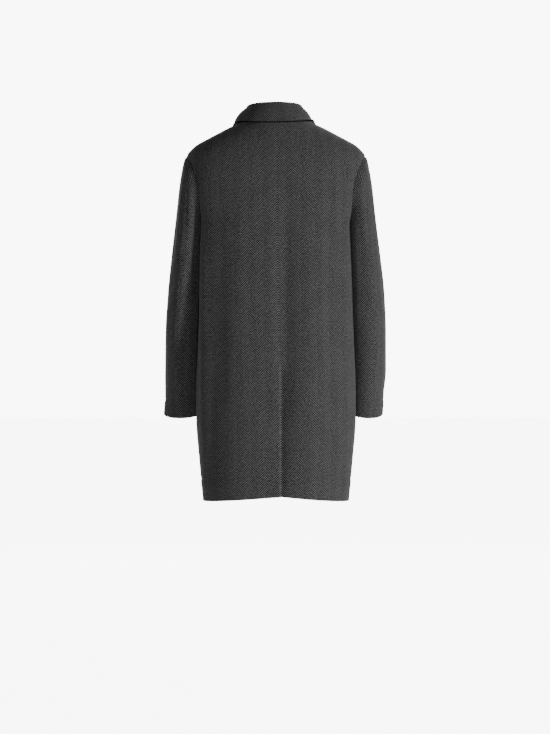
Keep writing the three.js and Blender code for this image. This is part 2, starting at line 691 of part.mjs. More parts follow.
function buttonMesh(number) {
  const z = FIRST_BUTTON_Z - BUTTON_PITCH * number;
  const reach = 10;
  const level = (height) => ({ side: height, mid: height, bend: 1 });
  const spot = trunkPoint(-1, 1, level(z), 0).place;
  const above = trunkPoint(-1, 1, level(z + reach), 0).place;
  const below = trunkPoint(-1, 1, level(z - reach), 0).place;
  const up = above.sub(below).normalize();
  const out = new THREE.Vector3(0, -up.z, up.y).normalize();
  const mesh = new THREE.Mesh(buttonGeometry(), horn);
  mesh.name = "button_" + (number + 1);
  mesh.quaternion.setFromUnitVectors(new THREE.Vector3(0, 1, 0), out);
  mesh.position.copy(spot).addScaledVector(out, SEAM_GAP + 0.2);
  return mesh;
}

const sewn = [];
for (const side of [1, -1]) {
  sewn.push(backPanel(side), frontPanel(side), sleevePanel(side, false), sleevePanel(side, true));
}
sew(sewn);
const turnedDown = collarSheet();
sew([turnedDown]);

const coat = new THREE.Group();
coat.name = "wool_coat";
for (const sheet of sewn) coat.add(clothMesh(sheet, CLOTH));
coat.add(clothMesh(turnedDown, COLLAR_CLOTH));
for (let number = 0; number < BUTTONS; number++) coat.add(buttonMesh(number));

export default coat;
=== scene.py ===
from collections import namedtuple
import math

import bpy
import numpy as np
from mathutils import Matrix, Vector


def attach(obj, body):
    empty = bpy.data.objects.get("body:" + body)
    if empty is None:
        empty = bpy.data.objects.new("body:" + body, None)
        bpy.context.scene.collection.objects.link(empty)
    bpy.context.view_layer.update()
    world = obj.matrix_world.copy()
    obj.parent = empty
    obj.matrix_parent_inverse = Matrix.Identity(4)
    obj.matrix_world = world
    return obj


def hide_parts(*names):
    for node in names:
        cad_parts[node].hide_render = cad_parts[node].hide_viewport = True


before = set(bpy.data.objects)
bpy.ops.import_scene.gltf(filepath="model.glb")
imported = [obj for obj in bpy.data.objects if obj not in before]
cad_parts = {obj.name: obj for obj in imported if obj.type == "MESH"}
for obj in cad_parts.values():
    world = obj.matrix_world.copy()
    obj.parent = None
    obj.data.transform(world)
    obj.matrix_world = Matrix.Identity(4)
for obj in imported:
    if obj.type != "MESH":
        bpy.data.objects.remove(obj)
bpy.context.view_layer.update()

MM = 0.001
BODY = "root"

# The photograph's view: level, straight on to the back, 2.6 mm to a pixel at the coat's middle
CAMERA_PLACE = (0.0026, 5.0, -0.642)
FRAME_HEIGHT = 734 * 2.6 * MM
SENSOR = 36.0
FLOOR_Z = -1.56  # the ground, as far below the neck as when the coat is worn

# Cloth and seams
CLOTH = 2.5
COLLAR_CLOTH = 3.0
LIFT = 0.65  # how far a button's back stands off the cloth
LAP_DEPTH = 3.7  # from the shown side of one panel to that of the one under it
SHOULDER_TIP_Z = -93.0
UNDERARM_Z = -275.0
VENT_TOP_Z = -620.0
NECK_FRONT_Z = -60.0
NECK_BACK_Z = 4.0
VENT_LAP = 40.0
FRONT_LAP = 25.0
ARMHOLE_HALF_DEPTH = 74.0
FAN_BEND = 1.2  # how the rows of cloth beside the armhole bend, where those below have 2
HOLLOW_HALF_DEPTH = 48.0  # of the hollow that the arm presses into the side, front to back

# Buttons
BUTTON_RADIUS = 12.0
BUTTON_THICK = 4.0
BUTTON_RIM = 2.2
BUTTON_DISH = 0.9  # how deep the dish is
DISH_SLOPE = 0.9  # how wide the slope from the rim down to it is
DISH_FLAT = 3.5  # how much further in its middle starts, which is DISH_SAG lower
DISH_SAG = 0.15
BUTTON_ROUNDING = 0.5
HOLE_SPREAD = 2.1  # from the button's middle to a hole's, each way
HOLE_RADIUS = 1.05
THREAD_RADIUS = 0.33
DISH_TOP = 3.25  # how high over the button's back a bar of thread leaves its holes
BAR_RISE = 0.55
BAR_SPREAD = 0.35  # from the middle of a bar to each of its two threads
SHANK_RADIUS = 2.6
SHANK_TURNS = 3
SHANK_BOTTOM = -0.55
SHANK_HEIGHT = 0.6
STITCH_RADIUS = 0.42
FIRST_BUTTON_Z = -140.0
BUTTON_PITCH = 148.0
BUTTONS = 4


def smooth_curve(at, values):
    """A smooth function through the values, with no overshoot between them."""
    steps = np.diff(at)
    slopes = np.diff(values) / steps
    product = slopes[:-1] * slopes[1:]
    total = np.where(product > 0, slopes[:-1] + slopes[1:], 1)
    inner = np.where(product > 0, 2 * product / total, 0)
    tangents = np.concatenate([slopes[:1], inner, slopes[-1:]])

    def curve(x):
        x = np.clip(x, at[0], at[-1])
        i = np.clip(np.searchsorted(at, x, side="right") - 1, 0, len(steps) - 1)
        t = (x - at[i]) / steps[i]
        t2 = t * t
        t3 = t2 * t
        return (
            (2 * t3 - 3 * t2 + 1) * values[i]
            + (t3 - 2 * t2 + t) * steps[i] * tangents[i]
            + (3 * t2 - 2 * t3) * values[i + 1]
            + (t3 - t2) * steps[i] * tangents[i + 1]
        )

    return curve


def table(names, *rows):
    """A table's columns as smooth functions of its first column."""
    data = np.array(sorted(rows), float)
    rest = names.split()[1:]
    return {name: smooth_curve(data[:, 0], data[:, i + 1]) for i, name in enumerate(rest)}


# The trunk at each height, seen from above: half its width, how far its back and front
# stand from the middle, and how square its corners are (2 is an oval).
TRUNK = table(
    "z half_width back front square",
    (8, 72, 62, 54, 2),
    (0, 80, 73, 60, 2),
    (-10, 97, 84, 63, 2),
    (-20, 120, 92, 66, 2),
    (-35, 149, 101, 70, 2.05),
    (-51, 179, 107.5, 75, 2.1),
    (-66, 206, 112, 81, 2.12),
    (-80, 222, 116, 88, 2.16),
    (-93, 231, 119, 96, 2.22),
    (-105, 232, 121, 102, 2.3),
    (-130, 230, 124, 113, 2.45),
    (-180, 218, 128, 128, 2.75),
    (-230, 206.5, 130, 138, 2.9),
    (-275, 201, 131, 143, 2.9),
    (-400, 203, 132, 147, 2.8),
    (-600, 205, 137, 150, 2.5),
    (-700, 206, 140, 151, 2.4),
    (-770, 206, 141, 152, 2.35),
    (-880, 199, 139, 152, 2.3),
    (-987, 190, 136, 150, 2.3),
)
SEAM_SWAY = table("z x", (-20, -2), (-200, -3), (-470, -6), (-690, -12), (-987, -12.5))
SIDE_HOLLOW = table(
    "z depth", (-150, 0), (-230, 9), (-275, 21), (-330, 15), (-450, 7), (-650, 0)
)

# A sleeve from the armhole (0) to the cuff (16): its outer edge on each side and its inner
# edge, seen from behind, then its middle, half depth and forward lean, seen from the side.
SLEEVE = table(
    "at out_left out_right out_z in_x in_z mid_y half_depth lean",
    (0, 231, 231, -93, 180, -275, 0, 74, 0),
    (1, 240, 239, -112, 188, -276.5, 0, 76, 0),
    (2, 246, 245, -140, 189, -283, 0, 76.5, 0),
    (3, 251, 250, -172, 190, -295, 0, 77, 0),
    (5, 260, 259, -252, 190, -326, -3, 77, 1),
    (7, 271, 271, -345, 190, -384, -9, 76, 4),
    (9, 282, 283, -445, 190, -465, -20, 74, 8),
    (11, 291, 290, -548, 191, -557, -38, 71, 11),
    (13, 293, 291, -650, 192, -651, -60, 67, 13),
    (14.5, 292, 285, -712, 191, -710, -74, 62, 14),
    (16, 297, 283, -764, 193, -760, -86, 57, 14),
)
BACK_SEAM_DEGREES = 72  # the sleeve's two seams, round it from its outer edge
FRONT_SEAM_DEGREES = 108
ARM_GAP = 2.6  # between the sleeve and the trunk at the front of the arm
ARM_TOUCH = 0.1  # the same behind the arm, where the two meet in a crease
ARM_SOFTNESS = 4.0  # how soon the sleeve turns from its own form to the trunk's
ARM_FULL = 3  # the ring from which the gap is whole

# The collar, from the middle of the back (0) to its front end (1): how far its rolled top
# leans out on each side and rises, and how far its edge lies out on each side, down and back.
COLLAR = table(
    "at roll_left roll_right roll_up edge_left edge_right edge_up edge_back",
    (0, -6, -6, 36, 29, 28, -24, 0),
    (0.25, -8, -11, 38, 30, 24, -18, 0),
    (0.5, -9, -17, 37, 30, 16, -9, 0),
    (0.72, -6, -9, 29, 34, 28, -22, 2),
    (0.88, -3, -3, 23, 40, 40, -40, 14),
    (1, 0, 0, 19, 42, 42, -58, 44),
)
COLLAR_END_X = 6.0  # from the middle of the front to each end of the collar's foot
ROLL_RADIUS = 7.0
COLLAR_LIFT = 0.1  # from the neck's edge up to the collar's foot
COLLAR_REST = 5.5  # from the trunk's cloth up to the inside of the fall
EDGE_CURL = 4.8  # the radius in which the collar's edge rolls under
FALL_CROWN = 3.5  # how far the middle of the fall arches outwards, and as far upwards

# The rows of cloth over the shoulders: height at the shoulder seam, at the centre line of
# the back and at that of the front.
SHOULDER_ROWS = [
    (-74, -75, -120),
    (-55, -56, -105),
    (-38, -39, -92),
    (-22, -22, -79),
    (-9, -8, -68),
    (0, NECK_BACK_Z, NECK_FRONT_Z),
]
HEM_SIDE_Z = -987.0
HEM_BACK_Z = -971.0
HEM_FRONT_Z = -982.0
TIP_FRONT_MID_Z = -135.0
HEM_TURN = 56.0  # how deep the hem and the cuff are turned up
CUFF_TURN = 38.0
TURN_DENT = 0.9  # how far the cloth is drawn in where a turning ends
TURN_SWELL = 0.6  # how far it stands out below that, over the turning

# The vent: how far its upper edge stands off, how far the iron has pressed the very edge
# back, how deep the fold beside it is, each with its width
VENT_PROUD = 3.6
VENT_PROUD_WIDTH = 30.0
VENT_PRESSED = 3.0
VENT_PRESSED_WIDTH = 2.6
VENT_FOLD = 5.5
VENT_FOLD_WIDTH = 11.0
PAINTED_HIGHLIGHT_WIDTH = 2.4  # of the painted highlight, a lighter line along the vent's edge where it catches the light
LAP_FADE = (25.0, 75.0)  # from the middle: where a panel rises from under the other one

# The long folds of the back (1) and the front (-1): x and z where each starts and ends, its
# half width and its depth. A ridge has a negative depth.
FOLDS = {
    1: [
        (126, -110, 172, -1040, 27, 4),  # under the left shoulder blade
        (96, -200, 104, -1080, 34, -5),  # left panel
        (-28, -150, 8, -1080, 26, 10),  # down the middle, beside the vent
        (-84, -230, -90, -1080, 36, -4),  # right panel
        (-140, -130, -158, -780, 26, 7),  # under the right shoulder blade
    ],
    -1: [
        (118, -150, 112, -900, 28, 6),  # left chest
        (-112, -160, -118, -880, 28, 6),  # right chest
        (60, -420, 66, -1060, 32, -5),  # left skirt
        (-66, -430, -58, -1060, 32, -5),  # right skirt
    ],
}
# A sleeve's long folds in the same way: degrees round it, and its ring in place of z
ELBOW_FOLDS = [
    (62, 5, 74, 14, 20, -3),  # behind
    (-78, 4, -64, 13, 18, 5),  # in front
    (8, 9, 24, 15.5, 20, 3),  # outer forearm
]
SLEEVE_FOLDS = {  # of the left arm (1) and the right (-1), with the fold at the arm's back
    1: [(112, 1, 96, 11, 17, 3), *ELBOW_FOLDS],
    -1: [(112, 1, 96, 11, 17, 2), *ELBOW_FOLDS],
}


def ease(start, end, at):
    t = np.clip((at - start) / (end - start), 0, 1)
    return t * t * (3 - 2 * t)


def between(a, b, t):
    return a + (b - a) * t


def soft_max(a, b, softness):
    h = np.maximum(softness - np.abs(a - b), 0) / softness
    return np.maximum(a, b) + h * h * softness / 4


def unit(vectors):
    return vectors / np.maximum(np.linalg.norm(vectors, axis=-1, keepdims=True), 1e-12)


def running(steps, axis=0):
    """The sums of the steps so far, from 0."""
    return np.insert(np.cumsum(steps, axis=axis), 0, 0, axis=axis)


def lengths_along(points, axis=0):
    """How far each point of a line, or of each line of a grid, lies from the line's start."""
    return running(np.linalg.norm(np.diff(points, axis=axis), axis=-1), axis)


# The trunk's own surface


def fold_depth(folds, a, b):
    """How deep long straight folds press each point, whose place is a across and b along."""
    depth = np.zeros(np.broadcast(a, b).shape)
    for a_start, b_start, a_end, b_end, half_width, deep in folds:
        along = (b - b_start) / (b_end - b_start)
        across = (a - between(a_start, a_end, along)) / half_width
        inside = (along >= 0) & (along <= 1)
        depth += np.where(inside, deep * np.sin(math.pi * along) * np.exp(-across * across), 0)
    return depth


def section_spot(face, share, z):
    """A spot on the trunk's own curve at height z, and the way that its cloth faces there."""
    angle = share * math.pi / 2
    square = TRUNK["square"](z)
    half_width = TRUNK["half_width"](z)
    depth = TRUNK["back" if face > 0 else "front"](z)
    x = half_width * np.abs(np.sin(angle)) ** (2 / square)
    y = face * depth * np.abs(np.cos(angle)) ** (2 / square)
    facing_x = (x / half_width) ** (square - 1) / half_width
    facing_y = face * (np.abs(y) / depth) ** (square - 1) / depth
    size = np.hypot(facing_x, facing_y)
    pressed = SIDE_HOLLOW["depth"](z) * np.sin(angle) * np.exp(-((y / HOLLOW_HALF_DEPTH) ** 2))
    return x - pressed, y, facing_x / size, facing_y / size


def share_at(face, y, z):
    depth = TRUNK["back" if face > 0 else "front"](z)
    return np.arccos((np.abs(y) / depth) ** (TRUNK["square"](z) / 2)) * 2 / math.pi


def armhole_height(angle):
    middle = (SHOULDER_TIP_Z + UNDERARM_Z) / 2
    return middle + (SHOULDER_TIP_Z - UNDERARM_Z) / 2 * np.cos(angle)


def armhole_spot(angle):
    """A spot on the armhole's edge on the left side, and the way that the trunk's cloth faces
    there. The angle runs from the shoulder tip to the back."""
    y = ARMHOLE_HALF_DEPTH * np.sin(angle)
    z = armhole_height(angle)
    back, front = (section_spot(face, share_at(face, y, z), z) for face in (1, -1))
    x, _, facing_x, facing_y = (np.where(y >= 0, a, b) for a, b in zip(back, front))
    return np.stack([x, y, z], -1), np.stack([facing_x, facing_y, 0 * z], -1)


def trunk_point(face, side, row, share):
    """Points of the trunk: a row of cloth is its height at the side and at the centre line,
    its bend, and its angle round the armhole, or nan away from it."""
    at_side, at_middle, bend, armhole = row
    z = at_side + (at_middle - at_side) * (1 - share) ** bend
    edge_y = ARMHOLE_HALF_DEPTH * np.sin(armhole)
    end = np.where(np.isnan(armhole), 1, share_at(face, np.nan_to_num(edge_y), at_side))
    x, y, facing_x, facing_y = section_spot(face, share * end, z)
    sink = fold_depth(FOLDS[face], side * x, z) * (1 - share**6)
    stray = SEAM_SWAY["x"](z) * (1 - share) ** 3 if face > 0 else 0
    place = np.stack([side * (x - facing_x * sink) + stray, y - facing_y * sink, z + 0 * x], -1)
    return place, np.stack([side * facing_x, facing_y, 0 * facing_x], -1)


# Rows and columns of cloth

HEM_STEPS = 72  # rows from the hem to the vent's top; the underlap ends 8 short of it
WAIST_STEPS = 66
FAN_STEPS = 50
SHOULDER_STEPS = 6  # between two shoulder rows
COLUMN_STEPS = 62
UNDERLAP_TOP = 64
CLOSE_STEPS = np.array([0, 1.1, 2.6, 4.6, 7.5, 11.5])  # next to a seam or an edge


def spread(length, count):
    """Distances from 0 to length in that many steps, close together at both ends."""
    near = CLOSE_STEPS * min(1, length / 90)
    middle = np.linspace(near[-1], length - near[-1], count - 9)
    return np.concatenate([near[:-1], middle, length - near[-2::-1]])


def panel_rows(face):
    """The rows of a panel from its hem to its neck edge, as arrays."""
    hem_middle = HEM_BACK_Z if face > 0 else HEM_FRONT_Z
    tip_middle = SHOULDER_TIP_Z if face > 0 else TIP_FRONT_MID_Z
    t = np.arange(HEM_STEPS) / HEM_STEPS
    near_hem = CLOSE_STEPS[1:3] / (VENT_TOP_Z - HEM_SIDE_Z)
    t = np.concatenate([t[:1], near_hem, t[1:]])
    rows = []
    for a in t:
        at_side = between(HEM_SIDE_Z, VENT_TOP_Z, a)
        rows.append((at_side, between(hem_middle, VENT_TOP_Z, a), 2, np.nan))
    for a in np.arange(WAIST_STEPS) / WAIST_STEPS:
        z = between(VENT_TOP_Z, UNDERARM_Z, a)
        rows.append((z, z, 2, np.nan))
    for k in np.linspace(1, 0, FAN_STEPS + 1):
        angle = k * math.pi
        rows.append((armhole_height(angle), between(tip_middle, UNDERARM_Z, k), FAN_BEND, angle))
    last = (SHOULDER_TIP_Z, tip_middle, FAN_BEND)
    for at_side, back, front in SHOULDER_ROWS:
        after = (at_side, back if face > 0 else front, 2)
        for i in range(1, SHOULDER_STEPS + 1):
            part = i / SHOULDER_STEPS
            rows.append((*(between(a, b, part) for a, b in zip(last, after)), np.nan))
        last = after
    return np.array(rows, float).T


def shares_round(face, side, rows, count):
    """For each row, the shares from the centre line to the side at which its columns lie,
    and how far round the cloth each is."""
    fine = np.linspace(0, 1, 181)
    shares, lengths = [], []
    for row in rows.T:
        line, _ = trunk_point(face, side, row, fine)
        along = lengths_along(line)
        wanted = spread(along[-1], count)
        shares.append(np.interp(wanted, along, fine))
        lengths.append(wanted)
    return np.array(shares), np.array(lengths)


def flat_heights(points, across):
    """How far up the cloth each point lies from the lowest row, square to the rows."""
    steps = np.linalg.norm(np.diff(points, axis=0), axis=2)
    up = np.sqrt(np.maximum(steps**2 - np.diff(across, axis=0) ** 2, (0.5 * steps) ** 2))
    return running(up) + points[:1, :, 2]


# Creases: soft troughs and ridges pressed into a sheet along short curved paths


def crease_depth(creases, a, b):
    """How deep the creases press each point, whose place on the cloth is a across and b up.
    A crease is three points of its path, its half width and its depth, negative for a ridge."""
    total = np.zeros(a.shape)
    t = np.linspace(0, 1, 19)
    for a0, b0, a1, b1, a2, b2, half_width, depth in creases:
        path_a = (1 - t) ** 2 * a0 + 2 * t * (1 - t) * a1 + t * t * a2
        path_b = (1 - t) ** 2 * b0 + 2 * t * (1 - t) * b1 + t * t * b2
        nearest = np.full(a.shape, 1e9)
        along = np.zeros(a.shape)
        for i in range(len(t) - 1):
            step_a = path_a[i + 1] - path_a[i]
            step_b = path_b[i + 1] - path_b[i]
            here = ((a - path_a[i]) * step_a + (b - path_b[i]) * step_b) / (step_a**2 + step_b**2)
            here = np.clip(here, 0, 1)
            gap = np.hypot(a - path_a[i] - here * step_a, b - path_b[i] - here * step_b)
            closer = gap < nearest
            nearest = np.where(closer, gap, nearest)
            along = np.where(closer, (i + here) / (len(t) - 1), along)
        swell = np.sin(math.pi * along)
        across = (nearest / (half_width * (0.55 + 0.45 * swell))) ** 2
        total += depth * swell**0.8 * (1 - 0.45 * across) * np.exp(-across)
    return total


# The creases of the trunk, placed by x and z: x0 z0 x1 z1 x2 z2 half_width depth
BACK_CREASES = [
    (200, -122, 197, -220, 198, -430, 9, 3.0),  # beside the left armhole
    (198, -320, 197, -480, 202, -780, 9, 2.6),
    (186, -95, 184, -300, 186, -560, 20, -5.0),  # the ridge along it
    (186, -300, 184, -700, 180, -1010, 21, -7.0),
    (10, -905, 10, -985, 10, -1060, 4, 1.1),  # where the hem is turned at the vent
    (150, -130, 132, -220, 140, -420, 13, 1.4),
    (-176, -122, -186, -190, -180, -270, 11, 2.0),  # beside the right armhole
    (-150, -140, -160, -230, -150, -330, 12, -1.4),
    (-188, -260, -178, -420, -184, -640, 12, 1.6),
    (-20, -150, -30, -300, -26, -520, 12, 1.0),  # beside the centre seam
    (20, -200, 26, -380, 22, -600, 16, -0.9),
    (-126, -420, -140, -600, -132, -820, 14, 1.8),
    (-72, -520, -66, -700, -72, -960, 13, -1.6),
    (92, -560, 100, -720, 94, -940, 17, 1.5),
    (150, -640, 144, -780, 150, -960, 15, -1.5),
    (-168, -640, -160, -780, -164, -950, 14, -1.4),
    (40, -700, 30, -820, 34, -960, 14, 1.2),
]
FRONT_CREASES = [
    (190, -125, 176, -200, 184, -300, 11, 2.4),  # beside the left armhole
    (150, -120, 120, -190, 96, -300, 14, 1.8),  # from the left armhole to the first button
    (96, -310, 70, -380, 30, -430, 15, -1.2),
    (-190, -125, -178, -205, -184, -300, 11, 2.4),
    (-146, -124, -118, -200, -90, -310, 14, 1.7),
    (-100, -320, -66, -390, -36, -440, 15, -1.1),
    (140, -420, 128, -600, 134, -860, 16, 1.8),
    (-136, -400, -146, -620, -134, -840, 16, 1.9),
    (-20, -620, -44, -760, -50, -960, 15, 1.6),
    (36, -640, 50, -800, 40, -960, 14, 1.3),
    (96, -640, 88, -800, 96, -960, 17, -1.5),
    (-98, -620, -92, -800, -102, -960, 17, -1.6),
]
# Folds that run across the side seams, placed by y and z
SIDE_CREASES = [
    (20, -300, 34, -420, 24, -560, 15, 1.6),
    (-34, -320, -50, -460, -40, -640, 17, 2.0),
    (60, -560, 50, -700, 62, -900, 18, 1.8),
    (-4, -600, 8, -760, -2, -940, 16, -1.7),
    (-70, -600, -62, -780, -72, -950, 18, 1.6),
]
RING_DEGREES = 12  # how many degrees round the sleeve a ring counts as
# The creases of a sleeve, placed by degrees round it and ring: a0 r0 a1 r1 a2 r2 half_width
# depth. The half width is in degrees.
SLEEVE_CREASES = {
    1: [
        (64, 1.2, 84, 4, 78, 8, 9, 2.6),
        (120, 0.9, 126, 4, 122, 12, 11, 3.0),
        (100, 7, 96, 10, 94, 15, 14, 3.2),
        (46, 1.5, 40, 4, 48, 7, 9, -1.6),
        (20, 3, 34, 6, 24, 9.5, 10, 1.3),
        (100, 5.5, 60, 8, 22, 9, 8, 2.0),
        (104, 8.2, 66, 9.4, 30, 10.6, 8, 1.9),
        (92, 11, 64, 11.6, 40, 12.8, 7, 1.5),
        (-30, 7.5, -66, 8.6, -110, 8.0, 8, 2.3),
        (-36, 9.4, -70, 10.0, -112, 9.2, 8, 2.2),
        (-50, 11.6, -80, 11.2, -120, 10.6, 8, 1.8),
        (70, 12.4, 60, 14, 66, 15.6, 9, 1.4),
        (10, 12.6, 2, 14, 8, 15.4, 10, -1.2),
        (-20, 1.6, -48, 3.4, -70, 6, 10, 1.6),
    ],
    -1: [
        (58, 1.3, 76, 3.6, 70, 7, 10, 1.2),
        (128, 1.0, 130, 5, 126, 12, 17, -4.0),
        (38, 2.2, 30, 5, 38, 8, 10, -1.5),
        (62, 4.2, 48, 8, 56, 13, 9, 2.6),
        (96, 7.2, 70, 8.4, 34, 9.2, 8, 1.4),
        (98, 10.0, 70, 10.6, 44, 11.8, 8, 1.3),
        (24, 9, 12, 11.5, 20, 14.6, 10, 1.5),
        (-28, 7.2, -62, 8.2, -108, 7.8, 8, 2.2),
        (-34, 9.6, -72, 9.8, -114, 9.0, 8, 2.0),
        (-46, 11.2, -78, 11.6, -118, 10.4, 8, 1.9),
        (-18, 1.4, -44, 3.2, -66, 5.6, 10, 1.5),
    ],
}


# Shells of cloth


def grid_normals(points):
    across = np.gradient(points, axis=1)
    up = np.gradient(points, axis=0)
    return unit(np.cross(across, up))


def area_of(cells):
    """The area of all the cells, each given by its four corners."""
    across = cells[:, 2] - cells[:, 0]
    along = cells[:, 3] - cells[:, 1]
    return np.sum(np.linalg.norm(np.cross(across, along), axis=1)) / 2


def add_mesh(name, vertices, faces, uvs=None):
    mesh = bpy.data.meshes.new(name)
    mesh.from_pydata([tuple(v) for v in np.asarray(vertices) * MM], [], [tuple(f) for f in faces])
    made = bpy.data.objects.new(name, mesh)
    bpy.context.scene.collection.objects.link(made)
    if uvs is not None:
        layer = mesh.uv_layers.new(name="cloth")
        loops = np.zeros(len(mesh.loops), np.int32)
        mesh.loops.foreach_get("vertex_index", loops)
        layer.data.foreach_set("uv", (np.asarray(uvs)[loops] * MM).astype(np.float32).ravel())
    return made


def only(*pieces):
    """Selects these pieces alone, the first of them active."""
    bpy.ops.object.select_all(action="DESELECT")
    for piece in pieces:
        piece.select_set(True)
    bpy.context.view_layer.objects.active = pieces[0]


def smooth_shaded(piece, degrees):
    only(piece)
    bpy.ops.object.shade_smooth_by_angle(angle=math.radians(degrees))


ROUND = [(45, 0.354), (90, 0.5), (135, 0.354)]  # a folded edge in four flats: degrees, bulge

# A panel of cloth before it is given its thickness, each a grid: its shown side, a rough way
# out, its place on the flat cloth, which cells are cloth, which points lie on a folded edge
# and not in a seam, and how strong its painted highlight is, a lighter line along the vent's
# edge that stands in for the light that edge catches.
Sheet = namedtuple("Sheet", "points facing uv cells free pressed")


def whole_sheet(points, facing, uv):
    """A sheet that is cloth all over, with no folded edge yet and no painted highlight."""
    rows, columns = points.shape[:2]
    cells = np.ones((rows - 1, columns - 1), bool)
    free = np.zeros((rows, columns), bool)
    return Sheet(points, facing, uv, cells, free, np.zeros((rows, columns)))


def shell(name, sheet, thickness):
    """A sheet of cloth as a closed wall of that thickness, and the area of its shown side."""
    rows, columns = sheet.points.shape[:2]
    normals = grid_normals(sheet.points)
    turned = np.sum(normals * sheet.facing) < 0
    if turned:
        normals = -normals
    index = np.arange(rows * columns).reshape(rows, columns)
    corners = np.stack([index[:-1, :-1], index[:-1, 1:], index[1:, 1:], index[1:, :-1]], -1)
    corners = corners[sheet.cells]
    if turned:
        corners = corners[:, ::-1]
    flat_points = sheet.points.reshape(-1, 3)
    flat_normals = normals.reshape(-1, 3)
    used = np.unique(corners)
    renumber = np.full(rows * columns, -1)
    renumber[used] = np.arange(len(used))
    outer_faces = renumber[corners]
    outer = flat_points[used]
    normal = flat_normals[used]
    is_free = sheet.free.ravel()[used]
    count = len(used)
    edges = {}
    for face in outer_faces.tolist():
        for i in range(4):
            a, b = face[i], face[(i + 1) % 4]
            if (b, a) in edges:
                del edges[(b, a)]
            else:
                edges[(a, b)] = True
    away = np.zeros((count, 3))
    for a, b in edges:
        sideways = np.cross(outer[b] - outer[a], normal[a])
        away[a] += unit(sideways)
        away[b] += unit(sideways)
    rim = sorted({v for edge in edges for v in edge})
    place = {v: i for i, v in enumerate(rim)}
    rim_outer = outer[rim]
    rim_normal = normal[rim]
    rim_away = unit(away[rim]) * np.where(is_free[rim], thickness, 0)[:, None]
    layers = []
    for turn, bulge in ROUND:
        sunk = thickness * (1 - math.cos(math.radians(turn))) / 2
        layers.append(rim_outer - rim_normal * sunk + rim_away * bulge)
    inner = outer - normal * thickness
    vertices = np.concatenate([outer, inner, *layers])
    faces = outer_faces.tolist()
    faces += [[f[3] + count, f[2] + count, f[1] + count, f[0] + count] for f in faces]
    start = [2 * count + k * len(rim) for k in range(len(ROUND))]
    for a, b in edges:
        ring_a = [a, *(s + place[a] for s in start), a + count]
        ring_b = [b, *(s + place[b] for s in start), b + count]
        for k in range(len(ROUND) + 1):
            faces.append([ring_b[k], ring_a[k], ring_a[k + 1], ring_b[k + 1]])
    flat_uv = sheet.uv.reshape(-1, 2)[used]
    uvs = np.concatenate([flat_uv, flat_uv] + [flat_uv[rim]] * len(ROUND))
    made = add_mesh(name, vertices, faces, uvs)
    # the painted highlight along the vent's edge, handed to the wool's shader as a point
    # attribute
    pressed = sheet.pressed.ravel()[used]
    pressed = np.concatenate([pressed, 0 * pressed] + [pressed[rim]] * len(ROUND))
    layer = made.data.attributes.new("pressed", "FLOAT", "POINT")
    layer.data.foreach_set("value", pressed.astype(np.float32))
    smooth_shaded(made, 50)
    return made, area_of(flat_points[corners]) * MM * MM


def groove(distance, depth=1.1, width=2.6):
    """How far the cloth is drawn in beside an ironed seam."""
    return depth * np.exp(-distance / width)


def hem_step(up, height):
    """How far the cloth is drawn in where a turned-up hem ends, at that height above its edge."""
    drawn_in = TURN_DENT * np.exp(-(((up - height) / 4) ** 2))
    return drawn_in - TURN_SWELL * np.exp(-(((up - height + 12) / 11) ** 2))


# Panels


